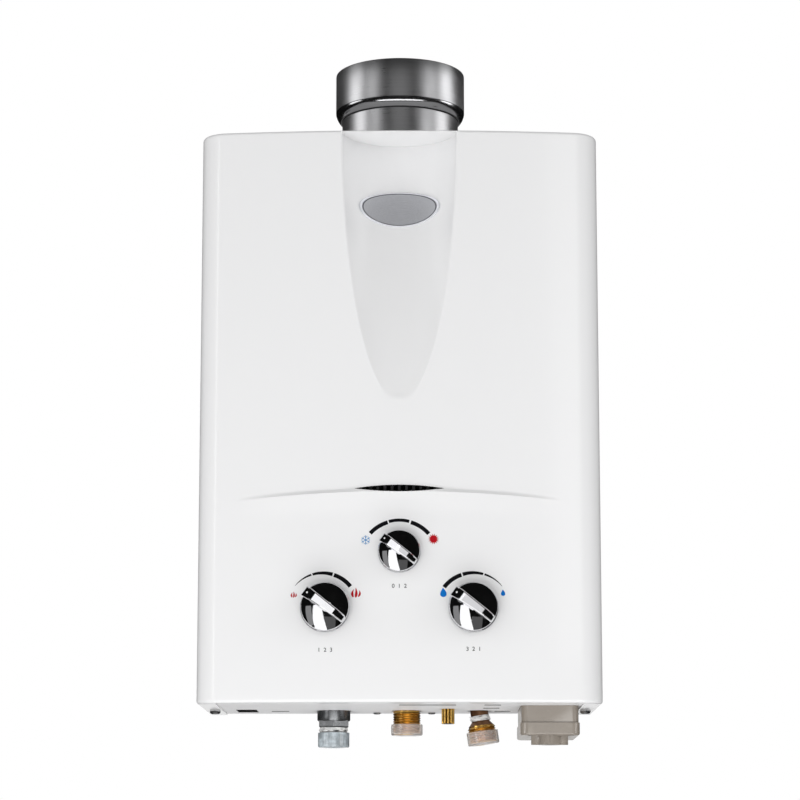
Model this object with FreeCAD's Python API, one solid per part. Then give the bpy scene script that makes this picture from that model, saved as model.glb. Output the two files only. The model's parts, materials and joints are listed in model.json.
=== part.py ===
"""Wall-hung instantaneous propane water heater, as separate parts.

Millimetres. X is to the right seen from the front, the wall is the plane Y = 0 and the front faces
-Y, Z is up. The origin is the centre of the four wall-screw holes, on the back of the back plate.
"""
import FreeCAD
import Part
import math
import os

V = FreeCAD.Vector

# ---- cabinet -------------------------------------------------------------------------------------
# Heights named *_up are above the cabinet's bottom edge, *_drop below it; *_depth is behind the front.
case_width = 295.0
case_height = 424.0
case_depth = 146.0
sheet = 1.0                    # cover, top and bottom sheet
frame_sheet = 1.2              # back plate sheet
front_bow_radius = 1100.0      # gentle bow of the front, in plan
corner_radius = 20.0           # vertical front corners
edge_radius = 2.5              # outer radius of the top and bottom edges
cover_wall_gap = 1.0           # cover's rear edge to the wall
lip_width = 14.0               # cover's inturned lips, top and bottom
panel_gap = 0.3                # between sheets that lie edge to edge
pan_flange = 16.0              # back plate's flanges, front to back
tray_flange = 10.0             # bottom plate's upturned flange
tray_bend = 2.0                # outer bend radius of the bottom plate
wall_screw_side = 47.5         # wall screws to the cabinet's side
wall_screw_end = 42.0          # wall screws to the cabinet's top and bottom
wall_hole_radius = 3.25
bead_side = 57.5               # stiffening beads pressed in the back plate, end to cabinet side
bead_width = 14.0
bead_height = 3.0
bead_low_up = 112.0
bead_length = case_width - 2 * bead_side
wall_screw_x = case_width - 2 * wall_screw_side
wall_screw_z = case_height - 2 * wall_screw_end

# ---- scoop, badge, brow and sight slot -----------------------------------------------------------
scoop_radius = 42.5
scoop_length = 204.8           # along the front, from the top edge to the tip
scoop_lip = 3.5                # top lip behind the scoop
top_lip_depth = scoop_radius + scoop_lip
badge_width = 59.8
badge_height = 28.0
badge_thickness = 1.4
badge_film = 0.05              # adhesive film under the badge
badge_top_drop = 53.0          # badge's centre below the cabinet's top
brow_side = 29.5               # end of the brow to the cabinet's side
brow_half = case_width / 2 - brow_side
brow_end_up = 146.5            # height of the crest at its ends
brow_mid_up = 152.4            # height of the crest in the middle
brow_rise = 2.6                # how far the crest stands out in the middle
brow_sink = 0.2                # how far its ends lie below the skin
brow_bed = 0.5                 # its back behind the skin
brow_steep = 3.0               # height of the flank above the crest, away from the slot
brow_visor = 8.8               # height of the flank above the crest, over the slot
brow_gentle = 17.0             # height of the slope below the crest
slot_width = 66.0
slot_height = 5.2
slot_rise = 2.4                # slot's centre above the crest
slot_up = brow_mid_up + slot_rise
grille_margin = 3.5
grille_land = 2.5              # solid rim above and below the bars' windows
grille_thickness = 2.4
grille_pitch = 5.2
grille_bar = 2.0

# ---- knobs and spindles --------------------------------------------------------------------------
knob_spread = 0.181 * case_width   # outer knobs, left and right of the middle
outer_knob_up = 68.0
centre_knob_up = 108.5
knob_radius = 19.0             # base ring
knob_scale_centre = 0.855      # the centre knob against the outer two
knob_ring = 2.4
knob_ring_edge = 0.8           # chamfer of the base ring
knob_dome_radius = 17.25
knob_dome_height = 13.2
knob_skirt = 5.4               # upright part of the dome above the ring
knob_draft = 0.15
knob_height = 21.0
grip_wide = 9.2
grip_narrow = 5.6
grip_foot = 2.0                # grip's foot above the ring
grip_front_lean = 6.6
grip_rear_lean = 5.2
grip_edge = 0.7
knob_angle = 144.0             # pointer at rest, anticlockwise from +X seen from the front
knob_gap = 0.6                 # knob's back to the cover's front
spindle_radius = 3.0
spindle_flat = 2.1             # axis to the flat
spindle_grip = 9.0             # length of spindle inside the knob
spindle_top_gap = 0.2
spindle_flat_depth = 12.0      # the flat ends here, behind the front
spindle_fit = 0.02
shoulder_radius = 4.0
shoulder_lead = 2.0            # shoulder stands out of the boss
shoulder_length = 22.0         # shoulder inside the boss
running = 0.05                 # radial running clearance
spindle_hole = 4.2             # radius of the cover's spindle holes

# ---- flue ----------------------------------------------------------------------------------------
flue_room_front = 4.0          # neck to the top plate's front edge
flue_room_rear = 6.0           # neck to the wall
flue_radius = (case_depth - top_lip_depth - flue_room_front - flue_room_rear) / 2
flue_depth = case_depth - flue_room_rear - flue_radius
flue_sheet = 0.8
flue_hole_gap = 0.5
flue_foot = 4.0                # neck's flange on the hood's deck
collar_swell = 4.8             # collar's outer radius beyond the neck's
collar_radius = flue_radius + collar_swell
collar_throat = flue_radius + 1.75 * flue_sheet    # outer radius where the collar grips the neck
collar_grip_rise = 33.0        # foot of the collar, above the cabinet's top
collar_turn_rise = 36.5        # top of the band that grips the neck
collar_wall_rise = 40.0
collar_rim_rise = 70.0
neck_end_gap = 2.0             # neck's end below the collar's seat

# ---- burner, chamber, exchanger and draft hood ---------------------------------------------------
season_half_height = 12.5
tray_room = 3.0                # season valve to the burner tray
bar_height = 44.0
electrode_rise = 5.6           # electrodes above the burner bars
tray_rim = 10.0                # tray's rim above the burner bars
manifold_rise = 11.0           # manifold's axis above the tray's floor
season_foot_up = centre_knob_up - season_half_height
season_top_up = centre_knob_up + season_half_height
tray_floor_up = season_top_up + tray_room
bar_top_up = tray_floor_up + bar_height
electrode_up = bar_top_up + electrode_rise
chamber_foot_up = bar_top_up + tray_rim
manifold_up = tray_floor_up + manifold_rise
hood_top_room = 24.0           # hood's deck to the cabinet's top
hood_height = 60.0
exchanger_height = 50.0
tube_rise = 24.0               # tubes above the exchanger's foot
hood_deck_up = case_height - hood_top_room
exchanger_top_up = hood_deck_up - hood_height
exchanger_foot_up = exchanger_top_up - exchanger_height
tube_up = exchanger_foot_up + tube_rise
hood_side = 5.5                # hood's deck beyond the neck at the sides
hood_front = 5.0
hood_rear = 4.0
hood_deck_half = flue_radius + hood_side
hood_deck_front = flue_depth - flue_radius - hood_front
hood_deck_rear = flue_depth + flue_radius + hood_rear
hood_slot_foot = 12.0          # relief openings in the hood's sides, above the exchanger
hood_slot_height = 14.0
hood_slot_end = 20.0
core_half = 0.2915 * case_width
core_wall_gap = 14.0
core_front = top_lip_depth     # front of the hot stack, behind the front
core_rear = case_depth - core_wall_gap
core_sheet = 0.8
sight_half = 28.0              # sight window in the chamber's front
sight_height = 12.0
sight_foot = 5.0
bar_count = 9
bar_side = 9.5                 # outermost bar's pitch line to the tray's side
bar_pitch = 2 * (core_half - bar_side) / bar_count
bar_thickness = 7.0
bar_front_gap = 2.0
bar_rear_gap = 3.0
bar_mouth_foot = 4.0
bar_mouth_top = 17.0
bar_throat = 12.0
bar_neck = 30.0
bar_head_foot = 26.0
bar_head_front = 8.0
bar_groove = 2.0
bar_groove_depth = 4.0
fin_count = 13
fin_side = 14.0
fin_pitch = 2 * (core_half - fin_side) / (fin_count - 1)
fin_thickness = 0.6
fin_foot = 2.0
fin_top = 4.0
tube_radius = 7.0
tube_wall = 0.8
tube_front_room = 23.0         # front tube's axis to the jacket's front
tube_rear_room = 17.0
tube_pitch = (core_rear - tube_rear_room - core_front - tube_front_room) / 2
tube_reach = 16.0              # straight stub of the tube outside the jacket
tube_end = 2.0                 # open ends of the tube outside the jacket
fin_hole_gap = 0.1
manifold_size = 12.0
manifold_gap = 2.0             # manifold to the tray's front
manifold_front = core_front - manifold_gap - manifold_size
jet_radius = 2.5
jet_reach = 1.0
tray_mouth_foot = 3.0
tray_mouth_rise = 8.0
tray_vents = 4
tray_vent_width = 8.0
tray_vent_side = 14.0
tray_vent_front = 16.0
electrode_radius = 2.5
electrode_out = 14.0           # ceramic outside the tray
electrode_in = 8.0
electrode_wire = 24.0          # wire's end inside the tray
electrode_wire_radius = 0.8
electrode_tag_radius = 1.4
electrode_tag = 6.0
bracket_width = 24.0           # Z-shaped brackets between the chamber and the back plate
bracket_height = 16.0
bracket_flange = 14.0
bracket_x = 52.0
bracket_ups = (chamber_foot_up + bracket_height, exchanger_foot_up + bracket_height)
bead_heights = (bead_low_up, (chamber_foot_up + exchanger_foot_up) / 2 + bead_width)

# ---- battery case --------------------------------------------------------------------------------
cell_radius = 17.1
cell_length = 61.5
cell_gap = 1.2
cell_nub_radius = 4.7
cell_nub_height = 1.6
cell_edge = 1.2
battery_side_room = 3.9        # cell to the case's outside, at the sides
battery_end_room = 3.2
battery_wall_gap = 21.0        # case to the wall
battery_screw_gap = 8.0        # case to the cover screw's axis
cover_screw_side = 8.0
cell_pitch = 2 * cell_radius + cell_gap
battery_case_width = 2 * (cell_radius + battery_side_room)
battery_case_depth = cell_pitch + 2 * (cell_radius + battery_end_room)
battery_front = case_depth - battery_wall_gap - battery_case_depth
cover_screw_x = case_width / 2 - cover_screw_side
battery_x = cover_screw_x - battery_screw_gap - battery_case_width / 2
battery_left = battery_x - battery_case_width / 2
battery_wall = 2.0
battery_corner = 5.0
battery_seam_drop = 11.2
cell_foot_drop = battery_seam_drop + 0.4 * battery_wall
contact_room = 10.5
battery_case_up = cell_length - cell_foot_drop + contact_room + battery_wall
battery_flange = 2.5
battery_flange_sheet = 1.6
lid_height = 9.5
lid_drop = battery_seam_drop + lid_height
lid_overhang = 0.8
lid_gap = 0.3
lid_edge = 1.5
latch_reach = 6.5              # latch below the lid
latch_drop = lid_drop + latch_reach
latch_width = 27.0
latch_depth = 6.0
latch_barrel_radius = 8.8
latch_from_front = 14.0
hinge_radius = 3.0
hinge_pin_radius = 1.45
hinge_pin_fit = 0.01
hinge_back = 5.5               # hinge axis behind the case
hinge_below = 1.3              # hinge axis below the seam
hinge_drop = battery_seam_drop + hinge_below
hinge_web = 2.2
ear_length = 5.0
ear_inset = 6.5
knuckle_gap = 0.3
contact_strip = 6.0            # half the width of the lid's bridge strip
contact_sheet = 0.6
contact_pad_radius = 5.0
contact_gap = 0.3
contact_plate = 8.0
spring_wide = 6.5
spring_narrow = 3.5

# ---- water and gas ways --------------------------------------------------------------------------
port_wall_gap = 31.0
port_depth = case_depth - port_wall_gap    # axis of the three threaded ports
gas_port_in = 2.9              # gas port inside its knob
cold_port_out = 6.6            # cold port outside its knob
hot_x = 5.0
gas_x = -(knob_spread - gas_port_in)
cold_x = knob_spread + cold_port_out
cold_tilt = 8.0
thread_radius = 10.48          # G 1/2
thread_chamfer = 1.0
thread_relief = 0.6
port_hole_gap = 1.0
cap_radius = 11.9
cap_wall = 0.5
cap_floor = 1.0
cap_edge = 1.2
cap_end_gap = 0.4
tape_thickness = 0.15
tape_end = 0.6
gas_bore_radius = 6.0
gas_body_radius = 12.5
gas_body_drop = 6.9
gas_hex_drop = 11.6
gas_tape_drop = 15.5
gas_cap_drop = 26.6
gas_hex_flats = 22.0
hot_cap_top_drop = 9.3
hot_cap_drop = 17.6
hot_nut_flats = 24.0
hot_nut_height = 7.0
hot_socket_wall = 2.0
cold_neck_radius = 6.8
cold_bore_radius = 4.5
cold_hole_gap = 2.2
cold_cone = 2.6
cold_tape_start = 2.6
cold_tape_end = 6.6
cold_thread_start = 10.2
cold_cap_start = 14.6
cold_cap_end = 24.6
port_stub_up = 14.0            # where the fittings meet what is inside
pipe_radius = 6.0
pipe_wall = 0.8
pipe_bend = 14.0
link_bend = 9.0

valve_below_knob = 24.0
valve_above_knob = 16.0
valve_foot_up = outer_knob_up - valve_below_knob
valve_top_up = outer_knob_up + valve_above_knob
valve_edge = 4.0
gas_valve_wall_gap = 16.0
gas_valve_depth = 60.0
gas_valve_out = 24.6           # gas valve's left side outside its knob
gas_valve_in = 29.4
gas_valve_left = knob_spread + gas_valve_out
gas_valve_right = knob_spread - gas_valve_in
gas_valve_rear = case_depth - gas_valve_wall_gap
gas_valve_front = gas_valve_rear - gas_valve_depth
gas_boss_front = 34.0
gas_boss_radius = 13.0
rod_from_rear = 42.0
rod_depth = gas_valve_rear - rod_from_rear     # axis of the push rod
rod_below_knob = 6.0
rod_up = outer_knob_up - rod_below_knob
solenoid_radius = 13.0
solenoid_flange = 2.0
solenoid_tip_radius = 4.0
solenoid_tip = 4.0
solenoid_room = 8.0
solenoid_top_up = tray_floor_up - solenoid_room
season_half = 18.0
season_front = 28.0
season_rear = 60.0
season_edge = 3.0
season_inlet_radius = 8.0
season_inlet_reach = 6.0
season_inlet_from_rear = 10.0
gas_outlet_radius = 8.0
gas_outlet_rise = 4.0
gas_link_run = 3.0             # pipe from the gas valve to the season valve
gas_link_x = -(season_half + season_inlet_reach + link_bend + gas_link_run)
solenoid_gap = 3.0
solenoid_x = gas_link_x - gas_outlet_radius - solenoid_gap - solenoid_radius - solenoid_flange

rod_radius = 3.0
rod_travel = 3.0
rod_end_room = 3.0
rod_start = 4.0                # rod's end inside the gas valve
rod_left = rod_start - gas_valve_right
rod_head_radius = 15.0
rod_head_length = 2.0
gas_port_reach = 12.0          # gas valve's boss for the push rod, beyond its right face
gas_port_radius = 9.0
switch_gap = 0.5
switch_length = 12.5
switch_height = 10.0
switch_width = 12.0
switch_rise = 4.5              # switch's foot above the rod's axis
switch_arm = 3.0
switch_bore = 9.0
switch_body_left = gas_port_reach + switch_gap - gas_valve_right
switch_body_right = switch_body_left + switch_length
switch_foot_up = rod_up + switch_rise
plunger_radius = 1.2
plunger_inside = 5.0
plunger_gap = 0.3
plunger_rise = 6.0
plunger_reach = 5.4
plunger_up = rod_up + plunger_rise
rod_collar_radius = 6.5
rod_collar_length = 2.0
rod_collar_x = switch_body_right + plunger_reach
diaphragm_in = 15.4
diaphragm_x = knob_spread - diaphragm_in
diaphragm_radius = 26.0
diaphragm_rim = 0.5
diaphragm_thickness = 2.0
diaphragm_cover_length = 8.0
diaphragm_cavity = 17.5
diaphragm_cavity_depth = 6.0
diaphragm_back_cavity = 5.0
diaphragm_screw_ring = 22.0
diaphragm_screw_radius = 2.6
diaphragm_screw_head = 2.4
gland_radius = 8.0
gland_length = 5.0
water_body_in = 1.4
water_body_gap = 5.5
water_body_left = knob_spread - water_body_in
water_body_right = battery_left - water_body_gap
water_before_rod = 26.0
water_behind_rod = 36.0
water_body_front = rod_depth - water_before_rod
water_body_rear = rod_depth + water_behind_rod
water_boss_front = 30.0
water_boss_radius = 11.0
water_out_edge = 9.0
water_out_from_front = 10.0
water_out_x = water_body_right - water_out_edge
water_out_depth = water_body_front + water_out_from_front
water_out_rise = 8.0
water_out_up = valve_top_up + water_out_rise
water_out_radius = 9.0
cold_stub_radius = 10.0
riser_gap = 18.0
riser_x = core_half + riser_gap    # pipes up the sides of the hot stack
riser_kick = 18.0
hot_run_room = 18.0
hot_run_up = tray_floor_up - hot_run_room

drain_in = 17.4
drain_x = knob_spread - drain_in
drain_behind_rod = 4.0
drain_depth = rod_depth + drain_behind_rod
drain_hole_gap = 0.8
drain_knob_radius = 5.0
drain_knob_drop = 10.2
drain_knob_top_up = 5.0
drain_ribs = 12
drain_flute_radius = 0.9
drain_flute_out = 0.3
drain_slot = 1.6
drain_stem_radius = 3.5
drain_stem_top_up = 24.0
drain_boss_radius = 8.0
drain_boss_foot_up = 8.0
drain_arm = 6.0
drain_arm_foot = 1.0
drain_arm_top = 8.0
drain_gap = 0.3

igniter_core_gap = 10.0
igniter_side_gap = 9.5
igniter_left = core_half + igniter_core_gap
igniter_right = case_width / 2 - igniter_side_gap
igniter_deep = 38.0
igniter_room = 16.0
igniter_height = 62.0
igniter_edge = 2.0
igniter_foot_up = battery_case_up + igniter_room
igniter_top_up = igniter_foot_up + igniter_height
stat_x = 40.0
stat_radius = 8.0
stat_length = 7.0
stat_pin = 7.0
stat_pin_gap = 4.0
stat_pin_half = 3.0
stat_pin_sheet = 0.8

# ---- vents and screws ----------------------------------------------------------------------------
screw_radius = 2.0
screw_head_radius = 4.0
screw_head_height = 2.2
screw_clearance = 0.3
screw_length = 8.0
cover_screw_wall_gap = 46.0
cover_screw_depth = case_depth - cover_screw_wall_gap
top_screw_inset = 8.0
plate_screw_radius = 1.5
plate_screw_head = 2.8
plate_screw_x = (-18.0, 24.0)
plate_screw_wall_gap = 12.0
plate_screw_depth = case_depth - plate_screw_wall_gap
side_vent_gap = 16.2           # left vent to the cover screw's axis
side_vent_width = 14.6
side_vent_before = 15.0        # before and behind the ports' axis
side_vent_behind = 13.0
slit_width = 3.4
left_slit = (42.0, 12.5)       # start beyond the cover screw, length
front_slit = (0.0, 41.0, 44.5)     # start, end, depth
right_slit_gap = 15.5          # slits between the cold port and the battery case
right_slit_start = 2.5
right_slit_depths = (45.5, 80.5)
rear_slit_gap = 6.0
rear_slit_start = 12.0
slit_behind_port = 1.5

parts = {}


def up(height):
    """Z of a height above the cabinet's bottom edge."""
    return height - case_height / 2


def deep(depth):
    """Y of a depth behind the cabinet's front."""
    return depth - case_depth


def block(x0, x1, y0, y1, z0, z1):
    return Part.makeBox(x1 - x0, y1 - y0, z1 - z0, V(x0, y0, z0))


def rod(radius, start, end):
    return Part.makeCylinder(radius, (end - start).Length, start, end - start)


def tube(outer, inner, start, end):
    return rod(outer, start, end).cut(rod(inner, start, end))


def hexagon(flats, start, end):
    """Hexagonal bar with its flats this far apart."""
    corner = flats / math.sqrt(3)
    ring = [start + V(corner * math.cos(math.radians(60 * i)), corner * math.sin(math.radians(60 * i)), 0)
            for i in range(7)]
    return Part.Face(Part.makePolygon(ring)).extrude(end - start)


def turned(profile, x, y):
    """Solid turned about a vertical axis at x, y from (radius, z) corners."""
    ring = [V(x + r, y, z) for r, z in profile]
    face = Part.Face(Part.makePolygon(ring + ring[:1]))
    return face.revolve(V(x, y, 0), V(0, 0, 1), 360)


def bent_path(points, bend):
    """Wire of straight runs joined by tangent arcs of one radius."""
    edges = []
    start = points[0]
    for before, corner, after in zip(points, points[1:], points[2:]):
        a = (before - corner).normalize()
        b = (after - corner).normalize()
        half = a.getAngle(b) / 2
        reach = bend / math.tan(half)
        middle = corner + (a + b).normalize() * (bend / math.sin(half) - bend)
        edges.append(Part.makeLine(start, corner + a * reach))
        edges.append(Part.Arc(corner + a * reach, middle, corner + b * reach).toShape())
        start = corner + b * reach
    edges.append(Part.makeLine(start, points[-1]))
    return Part.Wire(edges)


def bent_tube(points, bend, outer, wall):
    path = bent_path(points, bend)
    heading = points[1] - points[0]
    solids = [path.makePipe(Part.Wire(Part.makeCircle(r, points[0], heading))) for r in (outer, outer - wall)]
    skins = [Part.makeSolid(Part.makeShell(s.Faces + cap_faces(path, points, r)))
             for s, r in zip(solids, (outer, outer - wall))]
    return skins[0].cut(skins[1])


def cap_faces(path, points, radius):
    ends = ((points[0], points[1] - points[0]), (points[-1], points[-1] - points[-2]))
    return [Part.Face(Part.Wire(Part.makeCircle(radius, p, d))) for p, d in ends]


def joined(first, *rest):
    return first.multiFuse(list(rest)).removeSplitter() if rest else first


def save(name, shape):
    parts[name] = shape


def group(solids):
    return Part.makeCompound(solids)


# ---- cabinet sheets ------------------------------------------------------------------------------
bow_centre_y = front_bow_radius - case_depth
tilt = math.asin(scoop_radius / scoop_length)


def front_y(x, inset=0.0):
    """Y of the bowed front at x, or of a surface this far inside it."""
    radius = front_bow_radius - inset
    return bow_centre_y - math.sqrt(radius * radius - x * x)


def plan(inset, rear_y):
    """Plan outline of the cabinet, moved in by inset, closed at rear_y."""
    half = case_width / 2 - inset
    bow = front_bow_radius - inset
    corner = corner_radius - inset
    cx = half - corner
    cy = bow_centre_y - math.sqrt((bow - corner) ** 2 - cx * cx)
    towards = V(cx, cy - bow_centre_y, 0).normalize()
    tangent = V(0, bow_centre_y, 0) + towards * bow
    turn = math.radians(45)
    corner_mid = V(cx, cy, 0) + V(math.cos(turn), -math.sin(turn), 0) * corner
    side = V(half, cy, 0)
    rear = V(half, rear_y, 0)

    def mirrored(p):
        return V(-p.x, p.y, 0)

    nose = V(0, bow_centre_y - bow, 0)
    return Part.Wire([
        Part.Arc(mirrored(tangent), nose, tangent).toShape(),
        Part.Arc(tangent, corner_mid, side).toShape(),
        Part.makeLine(side, rear),
        Part.makeLine(rear, mirrored(rear)),
        Part.makeLine(mirrored(rear), mirrored(side)),
        Part.Arc(mirrored(side), mirrored(corner_mid), mirrored(tangent)).toShape(),
    ])


def plan_prism(inset, rear_y, z0, z1):
    face = Part.Face(plan(inset, rear_y))
    face.translate(V(0, 0, z0))
    return face.extrude(V(0, 0, z1 - z0))


def rounded_prism(inset, rear_y, z0, z1, radius, both=True):
    """Plan prism with its front and side edges rounded at the bottom, and at the top too."""
    solid = plan_prism(inset, rear_y, z0, z1)
    levels = (z0, z1) if both else (z0,)
    edges = [e for e in solid.Edges
             if any(abs(e.BoundBox.ZMin - z) < 1e-6 and abs(e.BoundBox.ZMax - z) < 1e-6 for z in levels)
             and e.BoundBox.YMin < rear_y - 1e-6]
    return solid.makeFillet(radius, edges)


def scoop(radius):
    """Tapering hollow below the flue: a tilted cylinder that leaves the front at its tip."""
    axis = V(0, math.sin(tilt), math.cos(tilt))
    centre = V(0, deep(0), up(case_height))
    bar = rod(radius, centre - axis * (scoop_length + 2 * radius), centre + axis * radius)
    below = block(-case_width, case_width, -3 * case_depth, 0, -case_height, up(case_height - sheet))
    return bar.common(below)


def brow_section(x):
    """Closed outline of the brow at x: steep above its crest, gentle below it."""
    share = abs(x) / brow_half
    fade = math.cos(share * math.pi / 2) ** 0.6 if share < 1 else 0.0
    visor = max(0.0, 1 - (abs(x) / (0.62 * slot_width)) ** 2) ** 1.5
    crest = brow_mid_up - (brow_mid_up - brow_end_up) * share ** 2
    flank = brow_steep + (brow_visor - brow_steep) * visor
    stand = brow_rise * fade - brow_sink * (1 - fade)
    bed = front_y(x) + brow_bed
    top = V(x, bed, up(crest + flank))
    peak = V(x, front_y(x) - stand, up(crest))
    below = V(x, front_y(x) - 0.45 * stand, up(crest - 0.45 * brow_gentle))
    foot = V(x, bed, up(crest - brow_gentle))
    slope = Part.BSplineCurve()
    slope.interpolate([peak, below, foot])
    return Part.Wire([Part.makeLine(top, peak), slope.toShape(), Part.makeLine(foot, top)])


def brow():
    steps = 12
    stations = [brow_half * (2 * i / steps - 1) for i in range(steps + 1)]
    return Part.makeLoft([brow_section(x) for x in stations], True)


def lens(width, height, x, z, y0, y1):
    """Pointed oval bar, seen along Y."""
    left, right = V(x - width / 2, y0, z), V(x + width / 2, y0, z)
    face = Part.Face(Part.Wire([
        Part.Arc(left, V(x, y0, z + height / 2), right).toShape(),
        Part.Arc(right, V(x, y0, z - height / 2), left).toShape(),
    ]))
    return face.extrude(V(0, y1 - y0, 0))


lip_inner = case_width / 2 - lip_width
cover_inner = case_width / 2 - sheet
pan_half = cover_inner - panel_gap
top_z = up(case_height)
floor_z = up(0)
knobs = {
    "flame": (-knob_spread, outer_knob_up, 1.0),
    "season": (0.0, centre_knob_up, knob_scale_centre),
    "water": (knob_spread, outer_knob_up, 1.0),
}
cover_screws_at = [(side * cover_screw_x, deep(cover_screw_depth)) for side in (-1, 1)]
top_screws_at = [(side * cover_screw_x, -top_screw_inset) for side in (-1, 1)]


def front_cover():
    rear = -cover_wall_gap
    ridge = brow()
    inner_ridge = ridge.copy()
    inner_ridge.translate(V(0, sheet, 0))
    outer = rounded_prism(0, rear, floor_z, top_z, edge_radius).cut(scoop(scoop_radius)).fuse(ridge)
    inner = rounded_prism(sheet, rear + 1, floor_z + sheet, top_z - sheet, edge_radius - sheet)
    shell = outer.cut(inner.cut(scoop(scoop_radius + sheet)).fuse(inner_ridge))
    cuts = [
        block(-lip_inner, lip_inner, deep(lip_width), 1, floor_z - 1, floor_z + 2 * sheet),
        block(-lip_inner, lip_inner, deep(top_lip_depth), 1, top_z - 2 * sheet, top_z + 1),
        lens(slot_width, slot_height, 0, up(slot_up), deep(-4 * sheet), deep(4 * sheet)),
    ]
    for x, height, _ in knobs.values():
        cuts.append(rod(spindle_hole, V(x, deep(-4 * sheet), up(height)), V(x, deep(8 * sheet), up(height))))
    hole = screw_radius + screw_clearance
    cuts += [rod(hole, V(x, y, floor_z - sheet), V(x, y, floor_z + 2 * sheet)) for x, y in cover_screws_at]
    cuts += [rod(hole, V(x, y, top_z - 2 * sheet), V(x, y, top_z + sheet)) for x, y in top_screws_at]
    return shell.cut(group(cuts))


def obround(length, width, z, y0, y1):
    """Bar along Y with a round-ended section lying along X."""
    straight = (length - width) / 2
    middle = block(-straight, straight, y0, y1, z - width / 2, z + width / 2)
    ends = [rod(width / 2, V(side * straight, y0, z), V(side * straight, y1, z)) for side in (-1, 1)]
    return joined(middle, *ends)


pan_top = top_z - sheet
pan_foot = floor_z + 2 * sheet


def flue_hole(z0, z1):
    y = deep(flue_depth)
    return rod(flue_radius + flue_hole_gap, V(0, y, z0), V(0, y, z1))


def back_plate():
    t = frame_sheet
    pan = block(-pan_half, pan_half, -pan_flange, 0, pan_foot, pan_top)
    pan = pan.makeFillet(tray_bend, [e for e in pan.Edges if abs(e.BoundBox.YLength - pan_flange) < 1e-6])
    hollow = block(-pan_half + t, pan_half - t, -pan_flange - 1, -t, pan_foot + t, pan_top - t)
    pan = pan.cut(hollow.makeFillet(tray_bend - t, [e for e in hollow.Edges if e.BoundBox.YLength > pan_flange - t]))
    for height in bead_heights:
        pan = pan.fuse(obround(bead_length, bead_width, up(height), -t - bead_height, -t))
        pan = pan.cut(obround(bead_length - 2 * t, bead_width - 2 * t, up(height), -bead_height, 1))
    cuts = [rod(wall_hole_radius, V(sx * wall_screw_x / 2, -4 * t, sz * wall_screw_z / 2),
                V(sx * wall_screw_x / 2, 1, sz * wall_screw_z / 2))
            for sx in (-1, 1) for sz in (-1, 1)]
    hole = screw_radius + screw_clearance
    cuts += [rod(hole, V(x, y, pan_top - 4 * t), V(x, y, pan_top + t)) for x, y in top_screws_at]
    small = plate_screw_radius + screw_clearance
    y = deep(plate_screw_depth)
    cuts += [rod(small, V(x, y, pan_foot - t), V(x, y, pan_foot + 2 * t)) for x in plate_screw_x]
    cuts.append(flue_hole(pan_top - 4 * t, pan_top + t))
    return pan.removeSplitter().cut(group(cuts))


def top_plate():
    half = lip_inner - panel_gap
    front = deep(top_lip_depth) + panel_gap
    flange_rear = -pan_flange - 1
    plate = block(-half, half, front, 0, top_z - sheet, top_z)
    skirt = block(-half, half, front, flange_rear, top_z - tray_flange, top_z - sheet)
    skirt = skirt.cut(block(-half + sheet, half - sheet, front + sheet, flange_rear + 1,
                            top_z - tray_flange - 1, top_z))
    return joined(plate, skirt).cut(flue_hole(top_z - tray_flange - 1, top_z + 1))


def vents():
    """Slots in the bottom plate, as x0, x1, depth0, depth1."""
    side = -cover_screw_x
    slots = [
        (side + side_vent_gap, side + side_vent_gap + side_vent_width,
         port_depth - side_vent_before, port_depth + side_vent_behind),
        (side + left_slit[0], side + sum(left_slit), port_depth + slit_behind_port,
         port_depth + slit_behind_port + slit_width),
        (front_slit[0], front_slit[1], front_slit[2], front_slit[2] + slit_width),
        (cold_x + rear_slit_start, battery_left - rear_slit_gap, port_depth + slit_behind_port,
         port_depth + slit_behind_port + slit_width),
    ]
    slots += [(cold_x + right_slit_start, battery_left - right_slit_gap, depth, depth + slit_width)
              for depth in right_slit_depths]
    return [block(x0, x1, deep(a), deep(b), floor_z - sheet, floor_z + 3 * sheet) for x0, x1, a, b in slots]


def bottom_plate():
    inset = sheet + panel_gap
    z0 = floor_z + sheet
    z1 = floor_z + tray_flange
    tray = rounded_prism(inset, 0, z0, z1, tray_bend, both=False)
    hollow = rounded_prism(inset + sheet, 1, z0 + sheet, z1 + 1, tray_bend - sheet, both=False)
    tray = tray.cut(hollow).cut(block(-case_width, case_width, -pan_flange - 1, 1, z0 + sheet, z1 + 1))
    y = deep(port_depth)
    low, high = floor_z - sheet, floor_z + 4 * sheet
    cuts = vents() + [
        rod(gas_body_radius + port_hole_gap, V(gas_x, y, low), V(gas_x, y, high)),
        rod(thread_radius + port_hole_gap, V(hot_x, y, low), V(hot_x, y, high)),
        rod(cold_neck_radius + cold_hole_gap, V(cold_x, y, low), V(cold_x, y, high)),
        rod(drain_knob_radius + drain_hole_gap, V(drain_x, deep(drain_depth), low),
            V(drain_x, deep(drain_depth), high)),
        battery_box(panel_gap, low, high),
    ]
    hole = screw_radius + screw_clearance
    cuts += [rod(hole, V(sx, sy, low), V(sx, sy, high)) for sx, sy in cover_screws_at]
    small = plate_screw_radius + screw_clearance
    cuts += [rod(small, V(x, deep(plate_screw_depth), low), V(x, deep(plate_screw_depth), high))
             for x in plate_screw_x]
    return tray.cut(group(cuts))


def pan_head(x, y, z, shank, head, height, length, way):
    """Screw whose head lies on z, pointing up (way 1) or down (way -1)."""
    under = rod(shank, V(x, y, z), V(x, y, z + way * length))
    disc = rod(head, V(x, y, z - way * height), V(x, y, z))
    rim = [e for e in disc.Edges if abs(e.BoundBox.ZMin - (z - way * height)) < 1e-6
           and abs(e.BoundBox.ZMax - (z - way * height)) < 1e-6]
    disc = disc.makeFillet(0.7 * height, rim)
    return joined(disc, under)


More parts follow.
